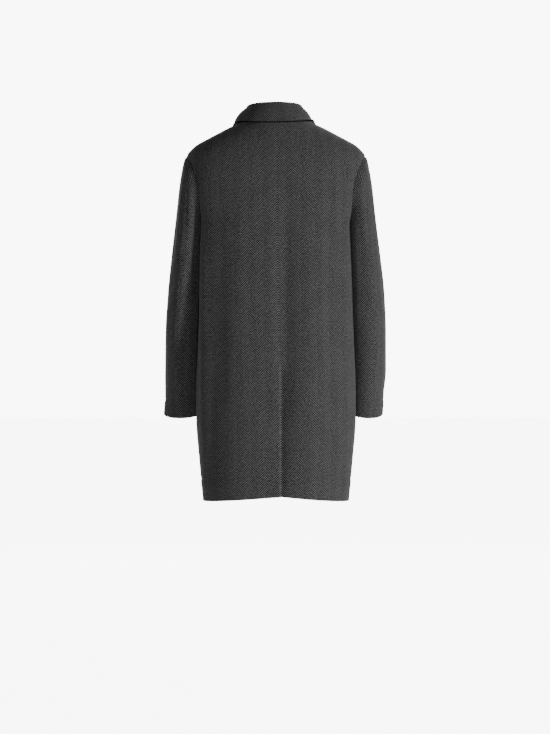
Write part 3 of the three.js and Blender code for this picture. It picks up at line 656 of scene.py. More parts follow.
def trunk_panel(face, side):
    """A back or a front, from its hem to its neck edge."""
    rows = panel_rows(face)
    shares, across = shares_round(face, side, rows, COLUMN_STEPS)
    row = [r[:, None] for r in rows]
    points, facing = trunk_point(face, side, row, shares)
    lap_width = FRONT_LAP if face < 0 else (VENT_LAP if side < 0 else 0)
    lap_steps = {FRONT_LAP: 7, VENT_LAP: 9, 0: 0}[lap_width]
    if lap_steps:
        reach = lap_width * np.linspace(1, 0, lap_steps, endpoint=False)[None]
        at_middle = row[1]
        bend = TRUNK["square"](at_middle) / 2
        lap_share = np.arcsin((reach / TRUNK["half_width"](at_middle)) ** bend) * 2 / math.pi
        lap, lap_facing = trunk_point(face, -side, row, lap_share)
        points = np.concatenate([lap, points], 1)
        facing = np.concatenate([lap_facing, facing], 1)
        shares = np.concatenate([-lap_share, shares], 1)
        across = np.concatenate([np.repeat(-reach, len(points), 0), across], 1)
    x, y, z = points[..., 0], points[..., 1], points[..., 2]
    from_middle = np.abs(x - (SEAM_SWAY["x"](z) if face > 0 else 0))
    # creases, and the side folds that both faces share
    calm = 1 - np.clip(shares, 0, 1) ** 8
    sink = crease_depth(BACK_CREASES if face > 0 else FRONT_CREASES, x, z) * calm
    beside = ease(0.55, 0.85, shares) * ease(UNDERARM_Z, UNDERARM_Z - 60, z)
    sink = sink + crease_depth(SIDE_CREASES, y, z) * beside
    # seams: the side seam or armhole, the shoulder seam, and the centre back seam
    length = across[:, -1:] - across
    sink = sink + groove(length) * ease(0, -12, z)
    if face > 0:
        closed = ease(VENT_TOP_Z - 25, VENT_TOP_Z + 5, z)
        sink = sink + groove(np.abs(across), 1.2, 2.4) * closed
        if side > 0:  # the vent's edge on top stands a little proud
            proud = VENT_PROUD * (1 - ease(0, VENT_PROUD_WIDTH, across))
            proud = proud - VENT_PRESSED * np.exp(-((across / VENT_PRESSED_WIDTH) ** 2))
            sink = sink - proud * ease(VENT_TOP_Z, VENT_TOP_Z - 70, z)
        else:  # the panel under it falls away into the vent's fold
            under = ease(VENT_TOP_Z, VENT_TOP_Z - 40, z)
            flat = np.where(across <= 0, 1, 1 - ease(*LAP_FADE, from_middle))
            sink = sink + LAP_DEPTH * under * flat
            fold = np.exp(-((np.maximum(across - 2, 0) / VENT_FOLD_WIDTH) ** 2))
            sink = sink + VENT_FOLD * fold * ease(VENT_TOP_Z, VENT_TOP_Z - 50, z)
    elif side < 0:
        flat = np.where(x > 0, 1, 1 - ease(*LAP_FADE, -x))
        sink = sink + LAP_DEPTH * flat
    # a pressed hem shows as a faint step above the folded edge
    heights = flat_heights(points, across)
    sink = sink + hem_step(heights - heights[:1], HEM_TURN)
    points = points - facing * sink[..., None]
    sheet = whole_sheet(points, facing, np.stack([across, heights], -1))
    sheet.free[0] = True
    if face < 0:
        sheet.free[:, 0] = True
    elif side < 0:
        sheet.cells[UNDERLAP_TOP + 2 :, :lap_steps] = False
        sheet.free[: UNDERLAP_TOP + 3, : lap_steps + 1] = True
    else:
        sheet.free[: HEM_STEPS + 2, 0] = True
        # painted highlight: a lighter line along the top panel's vent edge, standing in for the
        # light that edge catches
        line = np.exp(-((across / PAINTED_HIGHLIGHT_WIDTH) ** 2))
        sheet.pressed[:] = line * ease(VENT_TOP_Z + 40, VENT_TOP_Z - 60, z)
    return sheet


def trunk_reach(y, z):
    """How far out the trunk's cloth reaches beside the arm, at each depth y and height z."""
    up = (2 * z - SHOULDER_TIP_Z - UNDERARM_Z) / (SHOULDER_TIP_Z - UNDERARM_Z)
    beside_hole = np.abs(up) <= 1
    armhole = np.where(beside_hole, np.arccos(np.clip(up, -1, 1)), np.nan)
    shares = np.linspace(1, 0, 49)
    reach = np.full(y.shape, -1e6)
    for face in (1, -1):
        mine = (y < 0) if face < 0 else (y >= 0)
        row = [v[mine][:, None] for v in (z, z, np.ones_like(z), armhole)]
        line, _ = trunk_point(face, 1, row, shares[None])
        depths = np.abs(line[..., 1])
        found = np.full(depths.shape[0], -1e6)
        open_side = beside_hole[mine]
        for i, wanted in enumerate(np.abs(y[mine])):
            if wanted < depths[i, 0]:
                if not open_side[i]:
                    found[i] = line[i, 0, 0]
            elif wanted <= depths[i, -1]:
                found[i] = np.interp(wanted, depths[i], line[i, :, 0])
        reach[mine] = found
    return reach


def sleeve_grid(side, ring, degrees):
    """Points of a sleeve at each ring and angle: 0 is its outer edge, 90 its back."""
    degrees = np.where(degrees > 180, degrees - 360, degrees)
    angle = np.radians(degrees)
    lean = np.radians(SLEEVE["lean"](ring))
    depth = SLEEVE["half_depth"](ring)
    sink = fold_depth(SLEEVE_FOLDS[side], degrees, ring)
    out = np.cos(angle)
    back = np.sin(angle)
    outer = SLEEVE["out_left" if side > 0 else "out_right"](ring)
    half_x = (outer - SLEEVE["in_x"](ring)) / 2
    half_z = (SLEEVE["out_z"](ring) - SLEEVE["in_z"](ring)) / 2
    shrink_out = 1 - sink / np.hypot(half_x, half_z)
    shrink_back = 1 - sink / depth
    y = SLEEVE["mid_y"](ring) + depth * back * np.cos(lean) * shrink_back
    z = (SLEEVE["out_z"](ring) + SLEEVE["in_z"](ring)) / 2 + half_z * out * shrink_out
    z = z - depth * back * np.sin(lean) * shrink_back
    x = outer - half_x + half_x * out * shrink_out
    gap = between(ARM_GAP, ARM_TOUCH, ease(0, 45, y))
    reach = trunk_reach(y, z)
    # where the two meet, the sleeve follows the trunk's creases
    calm = 1 - share_at(1, np.clip(y, 0, TRUNK["back"](z)), z) ** 8
    below = ease(UNDERARM_Z, UNDERARM_Z - 60, z)
    dent = crease_depth(BACK_CREASES, side * reach, z) * calm
    dent = (dent + crease_depth(SIDE_CREASES, y, z) * below) * ease(-30, 20, y)
    clear = reach + gap * ease(0, ARM_FULL, ring) - dent * ease(0, 0.7, ring)
    points = np.stack([soft_max(x, clear, ARM_SOFTNESS), y, z], -1)
    seam = armhole_spot(angle)[0] + 0 * points
    points = between(seam, points, ease(0, 1, ring)[..., None])
    return points * np.array([side, 1, 1])


def laid_flat(points, guess, **unwrap):
    """The grid's points on the flat cloth: unrolled by Blender, given their real size across
    the middle rows, and turned and moved to lie over the guess."""
    rows, columns = points.shape[:2]
    index = np.arange(rows * columns).reshape(rows, columns)
    faces = np.stack([index[:-1, :-1], index[:-1, 1:], index[1:, 1:], index[1:, :-1]], -1)
    sheet = add_mesh("sheet", points.reshape(-1, 3), faces.reshape(-1, 4))
    sheet.data.uv_layers.new(name="cloth")
    only(sheet)
    bpy.ops.object.mode_set(mode="EDIT")
    bpy.ops.mesh.select_all(action="SELECT")
    bpy.ops.uv.unwrap(margin=0, **unwrap)
    bpy.ops.object.mode_set(mode="OBJECT")
    corners = np.zeros(len(sheet.data.loops), np.int32)
    sheet.data.loops.foreach_get("vertex_index", corners)
    spots = np.zeros(2 * len(corners), np.float32)
    sheet.data.uv_layers["cloth"].data.foreach_get("uv", spots)
    flat = np.zeros((rows * columns, 2))
    flat[corners] = spots.reshape(-1, 2)
    bpy.data.objects.remove(sheet)
    flat = flat - flat.mean(axis=0)
    wanted = guess.reshape(-1, 2)
    centre = wanted.mean(axis=0)
    left, _, right = np.linalg.svd(flat.T @ (wanted - centre))
    if np.linalg.det(left @ right) < 0:
        left[:, 1] *= -1
    level = np.concatenate([flat, 0 * flat[:, :1]], 1)
    cells = faces[rows // 2 - 3 : rows // 2 + 3].reshape(-1, 4)
    scale = math.sqrt(area_of(points.reshape(-1, 3)[cells]) / area_of(level[cells]))
    return (flat @ (left @ right) * scale + centre).reshape(rows, columns, 2)


RING_PLACES = np.concatenate(
    [
        [0, 0.05, 0.11, 0.18, 0.27, 0.38, 0.52, 0.68, 0.84],
        np.arange(1, 4, 0.2),
        np.arange(4, 15.9, 0.125),
        [15.91, 15.97, 16],
    ]
)
SPOKE_STEPS = 58
SLEEVE_STRETCH = 1.02  # length of sleeve cloth for each mm of height
SLEEVE_GROOVE = 0.9  # how far the cloth is drawn in beside a sleeve's long seams
HEAD_FULLNESS = 1.5  # how far the sleeve head swells under the armhole seam
HEAD_MIDDLE = 11.0  # how far under the seam that is, and how wide
HEAD_WIDTH = 8.0


def sleeve_panel(side, under):
    """A top or an under sleeve piece, from cuff to armhole."""
    start = BACK_SEAM_DEGREES if under else -FRONT_SEAM_DEGREES
    spokes = start + spread(180, SPOKE_STEPS)
    # one spoke more on each side, so that both pieces face the same way at a seam
    wide = np.concatenate([2 * spokes[:1] - spokes[1], spokes, 2 * spokes[-1:] - spokes[-2]])
    ring = RING_PLACES[::-1][:, None] + 0 * wide[None]
    points = sleeve_grid(side, ring, wide[None] + 0 * ring)
    centre = points.mean(axis=1, keepdims=True) + np.array([side * (20 if under else -20), 0, 0])
    way_out = grid_normals(points)
    if np.sum(way_out * (points - centre)) < 0:
        way_out = -way_out
    points, way_out, ring = points[:, 1:-1], way_out[:, 1:-1], ring[:, 1:-1]
    degrees = spokes[None] + 0 * ring
    at_hole = armhole_spot(np.radians(degrees))[1] * np.array([side, 1, 1])
    way_out = unit(between(at_hole, way_out, ease(0, 0.6, ring)[..., None]))
    wrapped = np.where(degrees > 180, degrees - 360, degrees)
    creases = np.array(SLEEVE_CREASES[side])
    creases[:, 1:6:2] *= RING_DEGREES
    calm = ease(0.6, 1.6, ring) * (1 - ease(125, 150, np.abs(wrapped)))
    sink = crease_depth(creases, wrapped, ring * RING_DEGREES) * calm
    across = lengths_along(points, 1)
    girth = across[:, -1:]
    seams = groove(across, SLEEVE_GROOVE) + groove(girth - across, SLEEVE_GROOVE)
    sink = sink + seams * ease(0, 0.5, ring)
    # the sleeve head: drawn in at the armhole seam, then a little full
    down = lengths_along(points[::-1])[::-1]
    upper = (1 - ease(60, 120, np.abs(wrapped))) * ease(0, 8, down)
    swell = HEAD_FULLNESS * np.exp(-(((down - HEAD_MIDDLE) / HEAD_WIDTH) ** 2))
    sink = sink + groove(down) - upper * swell
    sink = sink + hem_step(down[:1] - down, CUFF_TURN)
    points = points - way_out * sink[..., None]
    # A first guess at the flat cloth: its height, and its level distance from the middle
    heights = points[..., 2] * SLEEVE_STRETCH
    level = np.linalg.norm(np.diff(points, axis=1), axis=2) ** 2 - np.diff(heights, axis=1) ** 2
    level = running(np.sqrt(np.maximum(level, 0)), 1)
    middle = SPOKE_STEPS // 2
    level = level - level[:, middle : middle + 1]
    uv = laid_flat(points, np.stack([level, heights], -1), method="CONFORMAL")
    sheet = whole_sheet(points, way_out, uv)
    sheet.free[0] = True
    return sheet


def neck_point(side, at):
    if at <= 0.5:
        face, share, middle = 1, at * 2, NECK_BACK_Z
    else:
        face, share, middle = -1, 2 - at * 2, NECK_FRONT_Z
    place, _ = trunk_point(face, side, (0.0, middle, 2.0, np.nan), np.array(share))
    return place


def trunk_size(p):
    square = TRUNK["square"](p[..., 2])
    depth = np.where(p[..., 1] > 0, TRUNK["back"](p[..., 2]), TRUNK["front"](p[..., 2]))
    wide = (np.abs(p[..., 0]) / TRUNK["half_width"](p[..., 2])) ** square
    return (wide + (np.abs(p[..., 1]) / depth) ** square) ** (1 / square)


def lifted_off(p, least):
    """Points moved out from the trunk's cloth until they are that far from it."""
    step = 0.5
    for _ in range(6):
        here = trunk_size(p)
        way = np.stack([trunk_size(p + step * axis) - here for axis in np.eye(3)], -1) / step
        steep = np.linalg.norm(way, axis=-1)
        distance = (here - 1) / steep
        short = np.maximum(least - distance, 0)
        p = p + way / steep[..., None] * short[..., None]
    return p


COLLAR_STATIONS = 52  # on each side of the centre back
STAND_STEPS = 7
ROLL_STEPS = 12
FALL_STEPS = 19
FALL_SHARE = 0.93  # how much of the fall is done before its edge rolls under
MEASURED_STEP = 14  # the step down the fall along which the collar's length is measured
CURL_DEGREES = np.array([18, 36, 54, 70, 84])


def collar_line(side, share, last):
    """The collar's shown side at one station: up the stand, over the roll, down the fall."""
    at = share * last
    foot = neck_point(side, at)
    step = 0.01
    forward = neck_point(side, min(at + step, 1)) - neck_point(side, max(at - step, 0))
    forward = np.array([side, 0, 0]) if share == 0 else unit(forward * [1, 1, 0])
    out = np.array([forward[1] * -side, forward[0] * side, 0])
    up_way = np.array([0, 0, 1])
    name = "left" if side > 0 else "right"
    lean = float(COLLAR["roll_" + name](share))
    top = float(COLLAR["roll_up"](share)) - ROLL_RADIUS
    edge_out = float(COLLAR["edge_" + name](share))
    edge_up = float(COLLAR["edge_up"](share))
    edge_back = float(COLLAR["edge_back"](share))
    line = []
    for i in range(STAND_STEPS):
        t = i / STAND_STEPS
        line.append(foot + out * (lean - ROLL_RADIUS) * t + up_way * between(COLLAR_LIFT, top, t))
    for i in range(ROLL_STEPS):
        turn = math.pi * (1 - i / ROLL_STEPS)
        around = out * (lean + ROLL_RADIUS * math.cos(turn))
        line.append(foot + around + up_way * (top + ROLL_RADIUS * math.sin(turn)))
    stand = np.array(line)
    t = np.linspace(0, FALL_SHARE, FALL_STEPS)
    crown = FALL_CROWN * 4 * t * (1 - t)
    out_by = between(lean + ROLL_RADIUS, edge_out, t) + crown
    up_by = between(top, edge_up, t) + crown
    back_by = edge_back * t
    fall = foot + out_by[:, None] * out + up_by[:, None] * up_way - back_by[:, None] * forward
    fall = lifted_off(fall, (COLLAR_CLOTH + COLLAR_REST) * np.minimum(t * 2, 1))
    down = unit(fall[-1] - fall[-2])
    inward = unit(down * np.dot(out, down) - out)
    turn = np.radians(CURL_DEGREES)[:, None]
    edge = fall[-1] + EDGE_CURL * (down * np.sin(turn) + inward * (1 - np.cos(turn)))
    return np.concatenate([stand, fall, edge])


def collar_grid():
    last = 1 - math.asin(COLLAR_END_X / TRUNK["half_width"](NECK_FRONT_Z)) / math.pi
    shares = np.linspace(0, 1, COLLAR_STATIONS + 1)
    shares = np.concatenate([shares[:-1], [0.99, 0.996, 1]])
    lines = [collar_line(-1, share, last) for share in shares[:0:-1]]
    lines += [collar_line(1, share, last) for share in shares]
    points = np.array(lines)
    down = lengths_along(points, 1)
    along = lengths_along(points[:, STAND_STEPS + ROLL_STEPS + MEASURED_STEP])
    along = along - along[len(along) // 2]
    guess = np.stack([along[:, None] + 0 * down, -down], -1)
    uv = laid_flat(points, guess, method="MINIMUM_STRETCH", iterations=80)
    facing = points * [1, 1, 0]
    facing[:, : STAND_STEPS + 4] *= -1
    sheet = whole_sheet(points, facing, uv)
    sheet.free[[0, -1]] = True
    sheet.free[:, -1] = True
    return sheet


# Materials


def linear(code):
    """An sRGB hex colour as linear red, green, blue and alpha."""
    parts = [int(code[i : i + 2], 16) / 255 for i in (0, 2, 4)]
    return (*(c / 12.92 if c <= 0.04045 else ((c + 0.055) / 1.055) ** 2.4 for c in parts), 1)


def add(tree, kind, inputs=None, **settings):
    """Adds a node with its settings. Each input is a value, a socket to link from, or a node
    whose first output is linked."""
    made = tree.nodes.new("ShaderNode" + kind)
    for name, value in settings.items():
        setattr(made, name, value)
    for name, value in (inputs or {}).items():
        if isinstance(value, bpy.types.Node):
            value = value.outputs[0]
        if isinstance(value, bpy.types.NodeSocket):
            tree.links.new(value, made.inputs[name])
        else:
            made.inputs[name].default_value = value
    return made


def material(name):
    made = bpy.data.materials.new(name)
    made.use_nodes = True
    made.node_tree.nodes.clear()
    return made, made.node_tree


TWILL_PITCH = 6.0 * MM  # between diagonal lines; real twill is nearer 2.5, too fine to show
COLUMN_WIDTH = 19.0 * MM  # one stripe of the herringbone
WANDER_SIZE = 14.0 * MM  # the hand of the cloth: how soon its lines stray, and how far
WANDER_BY = 2.4 * MM
FLECK_SIZE = 4.2 * MM  # yarns a little lighter or darker, drawn coarse enough to show
CLOUD_SIZE = 60.0 * MM
FUZZ_SIZE = 1.6 * MM  # brushed fibres
FUZZ_HEIGHT = 0.5 * MM
DARK_YARN = "101011"
LIGHT_YARN = "9a9a9b"
# The tone runs from the dark yarn (0) to the light one (1): its start, then what the
# diagonal lines, the flecks, the clouds and the painted highlight along the vent's edge add to it
TONE_START = -0.55
LINE_TONE = 0.42
FLECK_TONE = 1.5
CLOUD_TONE = 0.12
PAINTED_HIGHLIGHT_TONE = 0.13
FAINTER = 0.35  # how much fainter the lines are in every other stripe


def herringbone_wool():
    """Brushed woven wool, charcoal and grey yarns in a herringbone: matt, soft and a little
    hairy, so its edges catch light and its stripes break up."""
    made, tree = material("brushed_herringbone_wool")
    uv = add(tree, "UVMap", uv_map="cloth")
    place = add(tree, "SeparateXYZ", {0: uv})
    across = place.outputs["X"]
    up = place.outputs["Y"]
    # the twill's lines climb one way and then the other, a stripe at a time
    column = add(tree, "Math", {0: across, 1: COLUMN_WIDTH}, operation="DIVIDE")
    column = add(tree, "Math", {0: column}, operation="FLOOR")
    odd = add(tree, "Math", {0: column, 1: 2.0}, operation="FLOORED_MODULO")
    zigzag = add(tree, "Math", {0: across, 1: COLUMN_WIDTH}, operation="PINGPONG")
    wander = add(tree, "TexNoise", {"Vector": uv, "Scale": 1 / WANDER_SIZE, "Detail": 2.0})
    straying = {0: wander, 1: WANDER_BY, 2: -WANDER_BY / 2}
    stray = add(tree, "Math", straying, operation="MULTIPLY_ADD")
    height = add(tree, "Math", {0: up, 1: zigzag}, operation="ADD")
    height = add(tree, "Math", {0: height, 1: stray}, operation="ADD")
    height = add(tree, "Math", {0: odd, 1: TWILL_PITCH / 2, 2: height}, operation="MULTIPLY_ADD")
    phase = add(tree, "Math", {0: height, 1: 2 * math.pi / TWILL_PITCH}, operation="MULTIPLY")
    wave = add(tree, "Math", {0: phase}, operation="SINE")
    weaker = add(tree, "Math", {0: odd, 1: -FAINTER, 2: 1.0}, operation="MULTIPLY_ADD")
    wave = add(tree, "Math", {0: wave, 1: weaker}, operation="MULTIPLY")
    # flecks of lighter and darker yarn, and faint clouds where the nap lies another way
    grain = {"Vector": uv, "Scale": 1 / FLECK_SIZE, "Detail": 3.0, "Roughness": 0.7}
    flecks = add(tree, "TexNoise", grain)
    clouds = add(tree, "TexNoise", {"Vector": uv, "Scale": 1 / CLOUD_SIZE, "Detail": 2.0})
    tone = add(tree, "Math", {0: wave, 1: LINE_TONE, 2: TONE_START}, operation="MULTIPLY_ADD")
    tone = add(tree, "Math", {0: flecks, 1: FLECK_TONE, 2: tone}, operation="MULTIPLY_ADD")
    tone = add(tree, "Math", {0: clouds, 1: CLOUD_TONE, 2: tone}, operation="MULTIPLY_ADD")
    # painted highlight: lighter tone along the vent's edge, where that edge catches the light
    pressed = add(tree, "Attribute", attribute_name="pressed").outputs["Fac"]
    tone = add(tree, "Math", {0: pressed, 1: PAINTED_HIGHLIGHT_TONE, 2: tone}, operation="MULTIPLY_ADD")
    tone = add(tree, "Clamp", {"Value": tone})
    yarns = {0: tone, 6: linear(DARK_YARN), 7: linear(LIGHT_YARN)}
    colour = add(tree, "Mix", yarns, data_type="RGBA")
    fuzz = add(tree, "TexNoise", {"Vector": uv, "Scale": 1 / FUZZ_SIZE, "Detail": 2.0})
    relief = add(tree, "Math", {0: wave, 1: 0.5}, operation="MULTIPLY")
    relief = add(tree, "Math", {0: fuzz, 1: 0.6, 2: relief}, operation="MULTIPLY_ADD")
    bump = add(tree, "Bump", {"Strength": 0.55, "Distance": FUZZ_HEIGHT, "Height": relief})
    finish = {
        "Base Color": colour.outputs[2],
        "Roughness": 0.95,
        "Normal": bump,
        "Sheen Weight": 0.25,
        "Sheen Roughness": 0.55,
        "Specular IOR Level": 0.2,
    }
    add(tree, "OutputMaterial", {"Surface": add(tree, "BsdfPrincipled", finish)})
    return made


def collar_shadow_felt():
    """Pressed charcoal wool felt for the underside of the collar: no weave and very matt. Its
    near-black colour is painted shadow, far darker than the cloth, so the collar's edge reads
    as the dark shadow line beneath it."""
    made, tree = material("painted_shadow_felt")
    place = add(tree, "TexCoord").outputs["Object"]
    fibres = add(tree, "TexNoise", {"Vector": place, "Scale": 1 / FUZZ_SIZE, "Detail": 3.0})
    # near-black tones: painted shadow under the collar's edge
    shadow_tones = {0: fibres, 6: linear("0b0b0c"), 7: linear("1a1a1b")}
    colour = add(tree, "Mix", shadow_tones, data_type="RGBA")
    bump = add(tree, "Bump", {"Strength": 0.5, "Distance": FUZZ_HEIGHT, "Height": fibres})
    finish = {
        "Base Color": colour.outputs[2],
        "Roughness": 1.0,
        "Normal": bump,
        "Specular IOR Level": 0.1,
    }
    add(tree, "OutputMaterial", {"Surface": add(tree, "BsdfPrincipled", finish)})
    return made


STREAK_SIZE = 6.0 * MM  # the smoky streaks in the buttons
TWIST_PITCH = 0.45 * MM  # from one turn of the thread's ply to the next


def dark_horn_resin():
    """Horn-like polyester resin, turned and tumbled: a satin surface with faint smoky streaks."""
    made, tree = material("dark_horn_resin")
    place = add(tree, "TexCoord").outputs["Object"]
    smoke = {"Vector": place, "Scale": 1 / STREAK_SIZE, "Detail": 4.0, "Distortion": 1.5}
    streaks = add(tree, "TexNoise", smoke)
    horn = {0: streaks, 6: linear("0f0e0e"), 7: linear("3a3532")}
    colour = add(tree, "Mix", horn, data_type="RGBA")
    roughness = add(tree, "Math", {0: streaks, 1: 0.2, 2: 0.24}, operation="MULTIPLY_ADD")
    finish = {"Base Color": colour.outputs[2], "Roughness": roughness, "IOR": 1.54}
    add(tree, "OutputMaterial", {"Surface": add(tree, "BsdfPrincipled", finish)})
    return made


def waxed_sewing_thread():
    """Twisted polyester thread, waxed: dark grey and dull, with a fine diagonal twist."""
    made, tree = material("waxed_sewing_thread")
    place = add(tree, "TexCoord").outputs["Object"]
    turns = {"Vector": place, "Scale": 2 * math.pi / TWIST_PITCH / 20, "Distortion": 1.0}
    twist = add(tree, "TexWave", turns, bands_direction="DIAGONAL")
    bump = add(tree, "Bump", {"Strength": 0.5, "Distance": 0.1 * MM, "Height": twist})
    finish = {"Base Color": linear("2c2c2d"), "Roughness": 0.6, "Normal": bump}
    add(tree, "OutputMaterial", {"Surface": add(tree, "BsdfPrincipled", finish)})
    return made


# Stage


# The lamps, in metres: name, place, size and watts. All of them face the coat's middle.
LAMPS = [
    ("key", (-3.6, 3.05, -0.9), 0.9, 110),
    ("fill", (0.3, 5.4, -0.6), 2.4, 30),
    ("front_left", (1.5, -4.2, 0.6), 2.2, 90),
    ("front_right", (-2.0, -4.0, 0.4), 2.2, 55),
]
COAT_MIDDLE = (0, 0, -0.5)
FLOOR_WIDTH = 60.0
FLOOR_GLOW = 8.0  # the backdrop shows white, but lights the coat far less than that
BACKDROP_SHOWN = 9.0
BACKDROP_LIGHT = 0.06


def lamp(name, place, size, watts):
    data = bpy.data.lights.new(name, "AREA")
    data.shape = "DISK"
    data.size = size
    data.energy = watts
    made = bpy.data.objects.new(name, data)
    made.location = place
    way = Vector(COAT_MIDDLE) - Vector(place)
    made.rotation_euler = way.to_track_quat("-Z", "Y").to_euler()
    bpy.context.scene.collection.objects.link(made)


def make_stage():
    bpy.ops.object.select_all(action="DESELECT")
    bpy.ops.mesh.primitive_plane_add(size=FLOOR_WIDTH, location=(0, 0, FLOOR_Z))
    floor = bpy.context.object
    floor.name = "floor"
    made, tree = material("white_studio_floor")
    paper = add(tree, "BsdfDiffuse", {"Color": linear("f2f2f2"), "Roughness": 1.0})
    glow = add(tree, "Emission", {"Color": linear("ffffff"), "Strength": FLOOR_GLOW})
    lit = add(tree, "AddShader", {0: paper, 1: glow})
    seen = add(tree, "LightPath")
    both = add(tree, "MixShader", {0: seen, 1: paper, 2: lit})
    add(tree, "OutputMaterial", {"Surface": both})
    floor.data.materials.append(made)
    camera_data = bpy.data.cameras.new("camera")
    camera_data.sensor_width = SENSOR
    camera_data.lens = SENSOR * CAMERA_PLACE[1] / FRAME_HEIGHT
    camera = bpy.data.objects.new("camera", camera_data)
    camera.location = CAMERA_PLACE
    camera.rotation_euler = (math.pi / 2, 0, math.pi)
    bpy.context.scene.collection.objects.link(camera)
    bpy.context.scene.camera = camera
    for row in LAMPS:
        lamp(*row)
    world = bpy.data.worlds.new("studio")
    bpy.context.scene.world = world
    world.use_nodes = True
    tree = world.node_tree
    tree.nodes.clear()
    dim = add(tree, "Background", {"Color": linear("ffffff"), "Strength": BACKDROP_LIGHT})
    bright = add(tree, "Background", {"Color": linear("ffffff"), "Strength": BACKDROP_SHOWN})
    seen = add(tree, "LightPath")
    both = add(tree, "MixShader", {0: seen, 1: dim, 2: bright})
    add(tree, "OutputWorld", {"Surface": both})


make_stage()
WOOL = herringbone_wool()
# dark felt, whose colour is painted shadow under the collar's edge
SHADOW_FELT = collar_shadow_felt()
HORN = dark_horn_resin()
THREAD = waxed_sewing_thread()


def finish_piece(piece, stuff, slot, *nodes):
    piece.data.materials.clear()
    piece.data.materials.append(stuff)
    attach(piece, BODY)
    if nodes:
        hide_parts(*nodes)


def cloth_piece(name, sheet, thickness):
    piece, area = shell(name + "_cloth", sheet, thickness)
    finish_piece(piece, WOOL, "wool", name)
    return piece


SHADOW_FELT_STEPS = 3  # the last steps of the collar's rolled edge, which show the dark felt as a painted shadow line


def lay_shadow_felt(piece, sheet):
    """Lays the dark felt, painted shadow, under the collar's fall and on the part of its edge
    that rolls under.
    """
    piece.data.materials.append(SHADOW_FELT)
    stations, steps = sheet.cells.shape
    shown = stations * steps
    for face in piece.data.polygons[: 2 * shown]:
        step = face.index % steps
        under = face.index >= shown and step > STAND_STEPS + ROLL_STEPS
        face.material_index = int(under or step >= steps - SHADOW_FELT_STEPS)


for side, word in ((1, "left"), (-1, "right")):
    cloth_piece("back_" + word, trunk_panel(1, side), CLOTH)
    cloth_piece("front_" + word, trunk_panel(-1, side), CLOTH)
    cloth_piece("top_sleeve_" + word, sleeve_panel(side, False), CLOTH)
    cloth_piece("under_sleeve_" + word, sleeve_panel(side, True), CLOTH)
collar = collar_grid()
# the collar's underside and rolled edge in dark felt, a painted shadow line under its edge
lay_shadow_felt(cloth_piece("collar", collar, COLLAR_CLOTH), collar)


# Buttons and buttonholes


def front_spot(x, z):
    """A spot on the left front's shown side, the way out of it and the way up it."""
    def at(px, pz):
        bend = float(TRUNK["square"](pz)) / 2
        angle = math.asin((abs(px) / float(TRUNK["half_width"](pz))) ** bend)
        row = (float(pz), float(pz), 1.0, np.nan)
        return trunk_point(-1, 1 if px >= 0 else -1, row, np.array(angle * 2 / math.pi))[0]

    step = 4.0
    here = at(x, z)
    up = unit(at(x, z + step) - at(x, z - step))
    right = unit(at(x + step, z) - at(x - step, z))
    out = unit(np.cross(right, up))
    return here, (out if out[1] < 0 else -out), up


def cylinder(x, y, radius, height, vertices):
    """An upright cylinder whose middle is level with the middle of a button."""
    bpy.ops.object.select_all(action="DESELECT")
    bpy.ops.mesh.primitive_cylinder_add(
        vertices=vertices,
        radius=radius * MM,
        depth=height * MM,
        location=(x * MM, y * MM, BUTTON_THICK * MM / 2),
    )
    return bpy.context.object


def button_blank():
    """A four-hole button lying on the origin, in metres: turned rim, dished face, holes."""
    piece = cylinder(0, 0, BUTTON_RADIUS, BUTTON_THICK, 64)
    bpy.ops.object.transform_apply(location=True, rotation=False, scale=False)
    bpy.ops.object.mode_set(mode="EDIT")
    bpy.ops.mesh.select_mode(type="FACE")
    bpy.ops.mesh.select_all(action="DESELECT")
    bpy.ops.object.mode_set(mode="OBJECT")
    for face in piece.data.polygons:
        face.select = face.normal.z > 0.9
    bpy.ops.object.mode_set(mode="EDIT")
    bpy.ops.mesh.inset(thickness=BUTTON_RIM * MM, depth=0)
    bpy.ops.mesh.inset(thickness=DISH_SLOPE * MM, depth=-BUTTON_DISH * MM)
    bpy.ops.mesh.inset(thickness=DISH_FLAT * MM, depth=-DISH_SAG * MM)
    bpy.ops.object.mode_set(mode="OBJECT")
    only(piece)
    bevel = piece.modifiers.new("turned", "BEVEL")
    bevel.width = BUTTON_ROUNDING * MM
    bevel.segments = 3
    bevel.limit_method = "ANGLE"
    bevel.angle_limit = math.radians(40)
    bpy.ops.object.modifier_apply(modifier="turned")
    for x in (-HOLE_SPREAD, HOLE_SPREAD):
        for y in (-HOLE_SPREAD, HOLE_SPREAD):
            hole = cylinder(x, y, HOLE_RADIUS, 3 * BUTTON_THICK, 20)
            only(piece)
            cut = piece.modifiers.new("hole", "BOOLEAN")
            cut.operation = "DIFFERENCE"
            cut.object = hole
            bpy.ops.object.modifier_apply(modifier="hole")
            bpy.data.objects.remove(hole)
    smooth_shaded(piece, 35)
    return piece


def tube_along(name, line, radius):
    """A round thread through the points, in metres, as a mesh with closed ends."""
    curve = bpy.data.curves.new(name, "CURVE")
    curve.dimensions = "3D"
    curve.bevel_depth = radius
    curve.bevel_resolution = 2
    curve.use_fill_caps = True
    spline = curve.splines.new("POLY")
    spline.points.add(len(line) - 1)
    for point, place in zip(spline.points, line):
        point.co = (*place, 1)
    made = bpy.data.objects.new(name, curve)
    bpy.context.scene.collection.objects.link(made)
    only(made)
    bpy.ops.object.convert(target="MESH")
    return bpy.context.object


def joined(name, pieces):
    only(*pieces)
    bpy.ops.object.join()
    pieces[0].name = name
    return pieces[0]


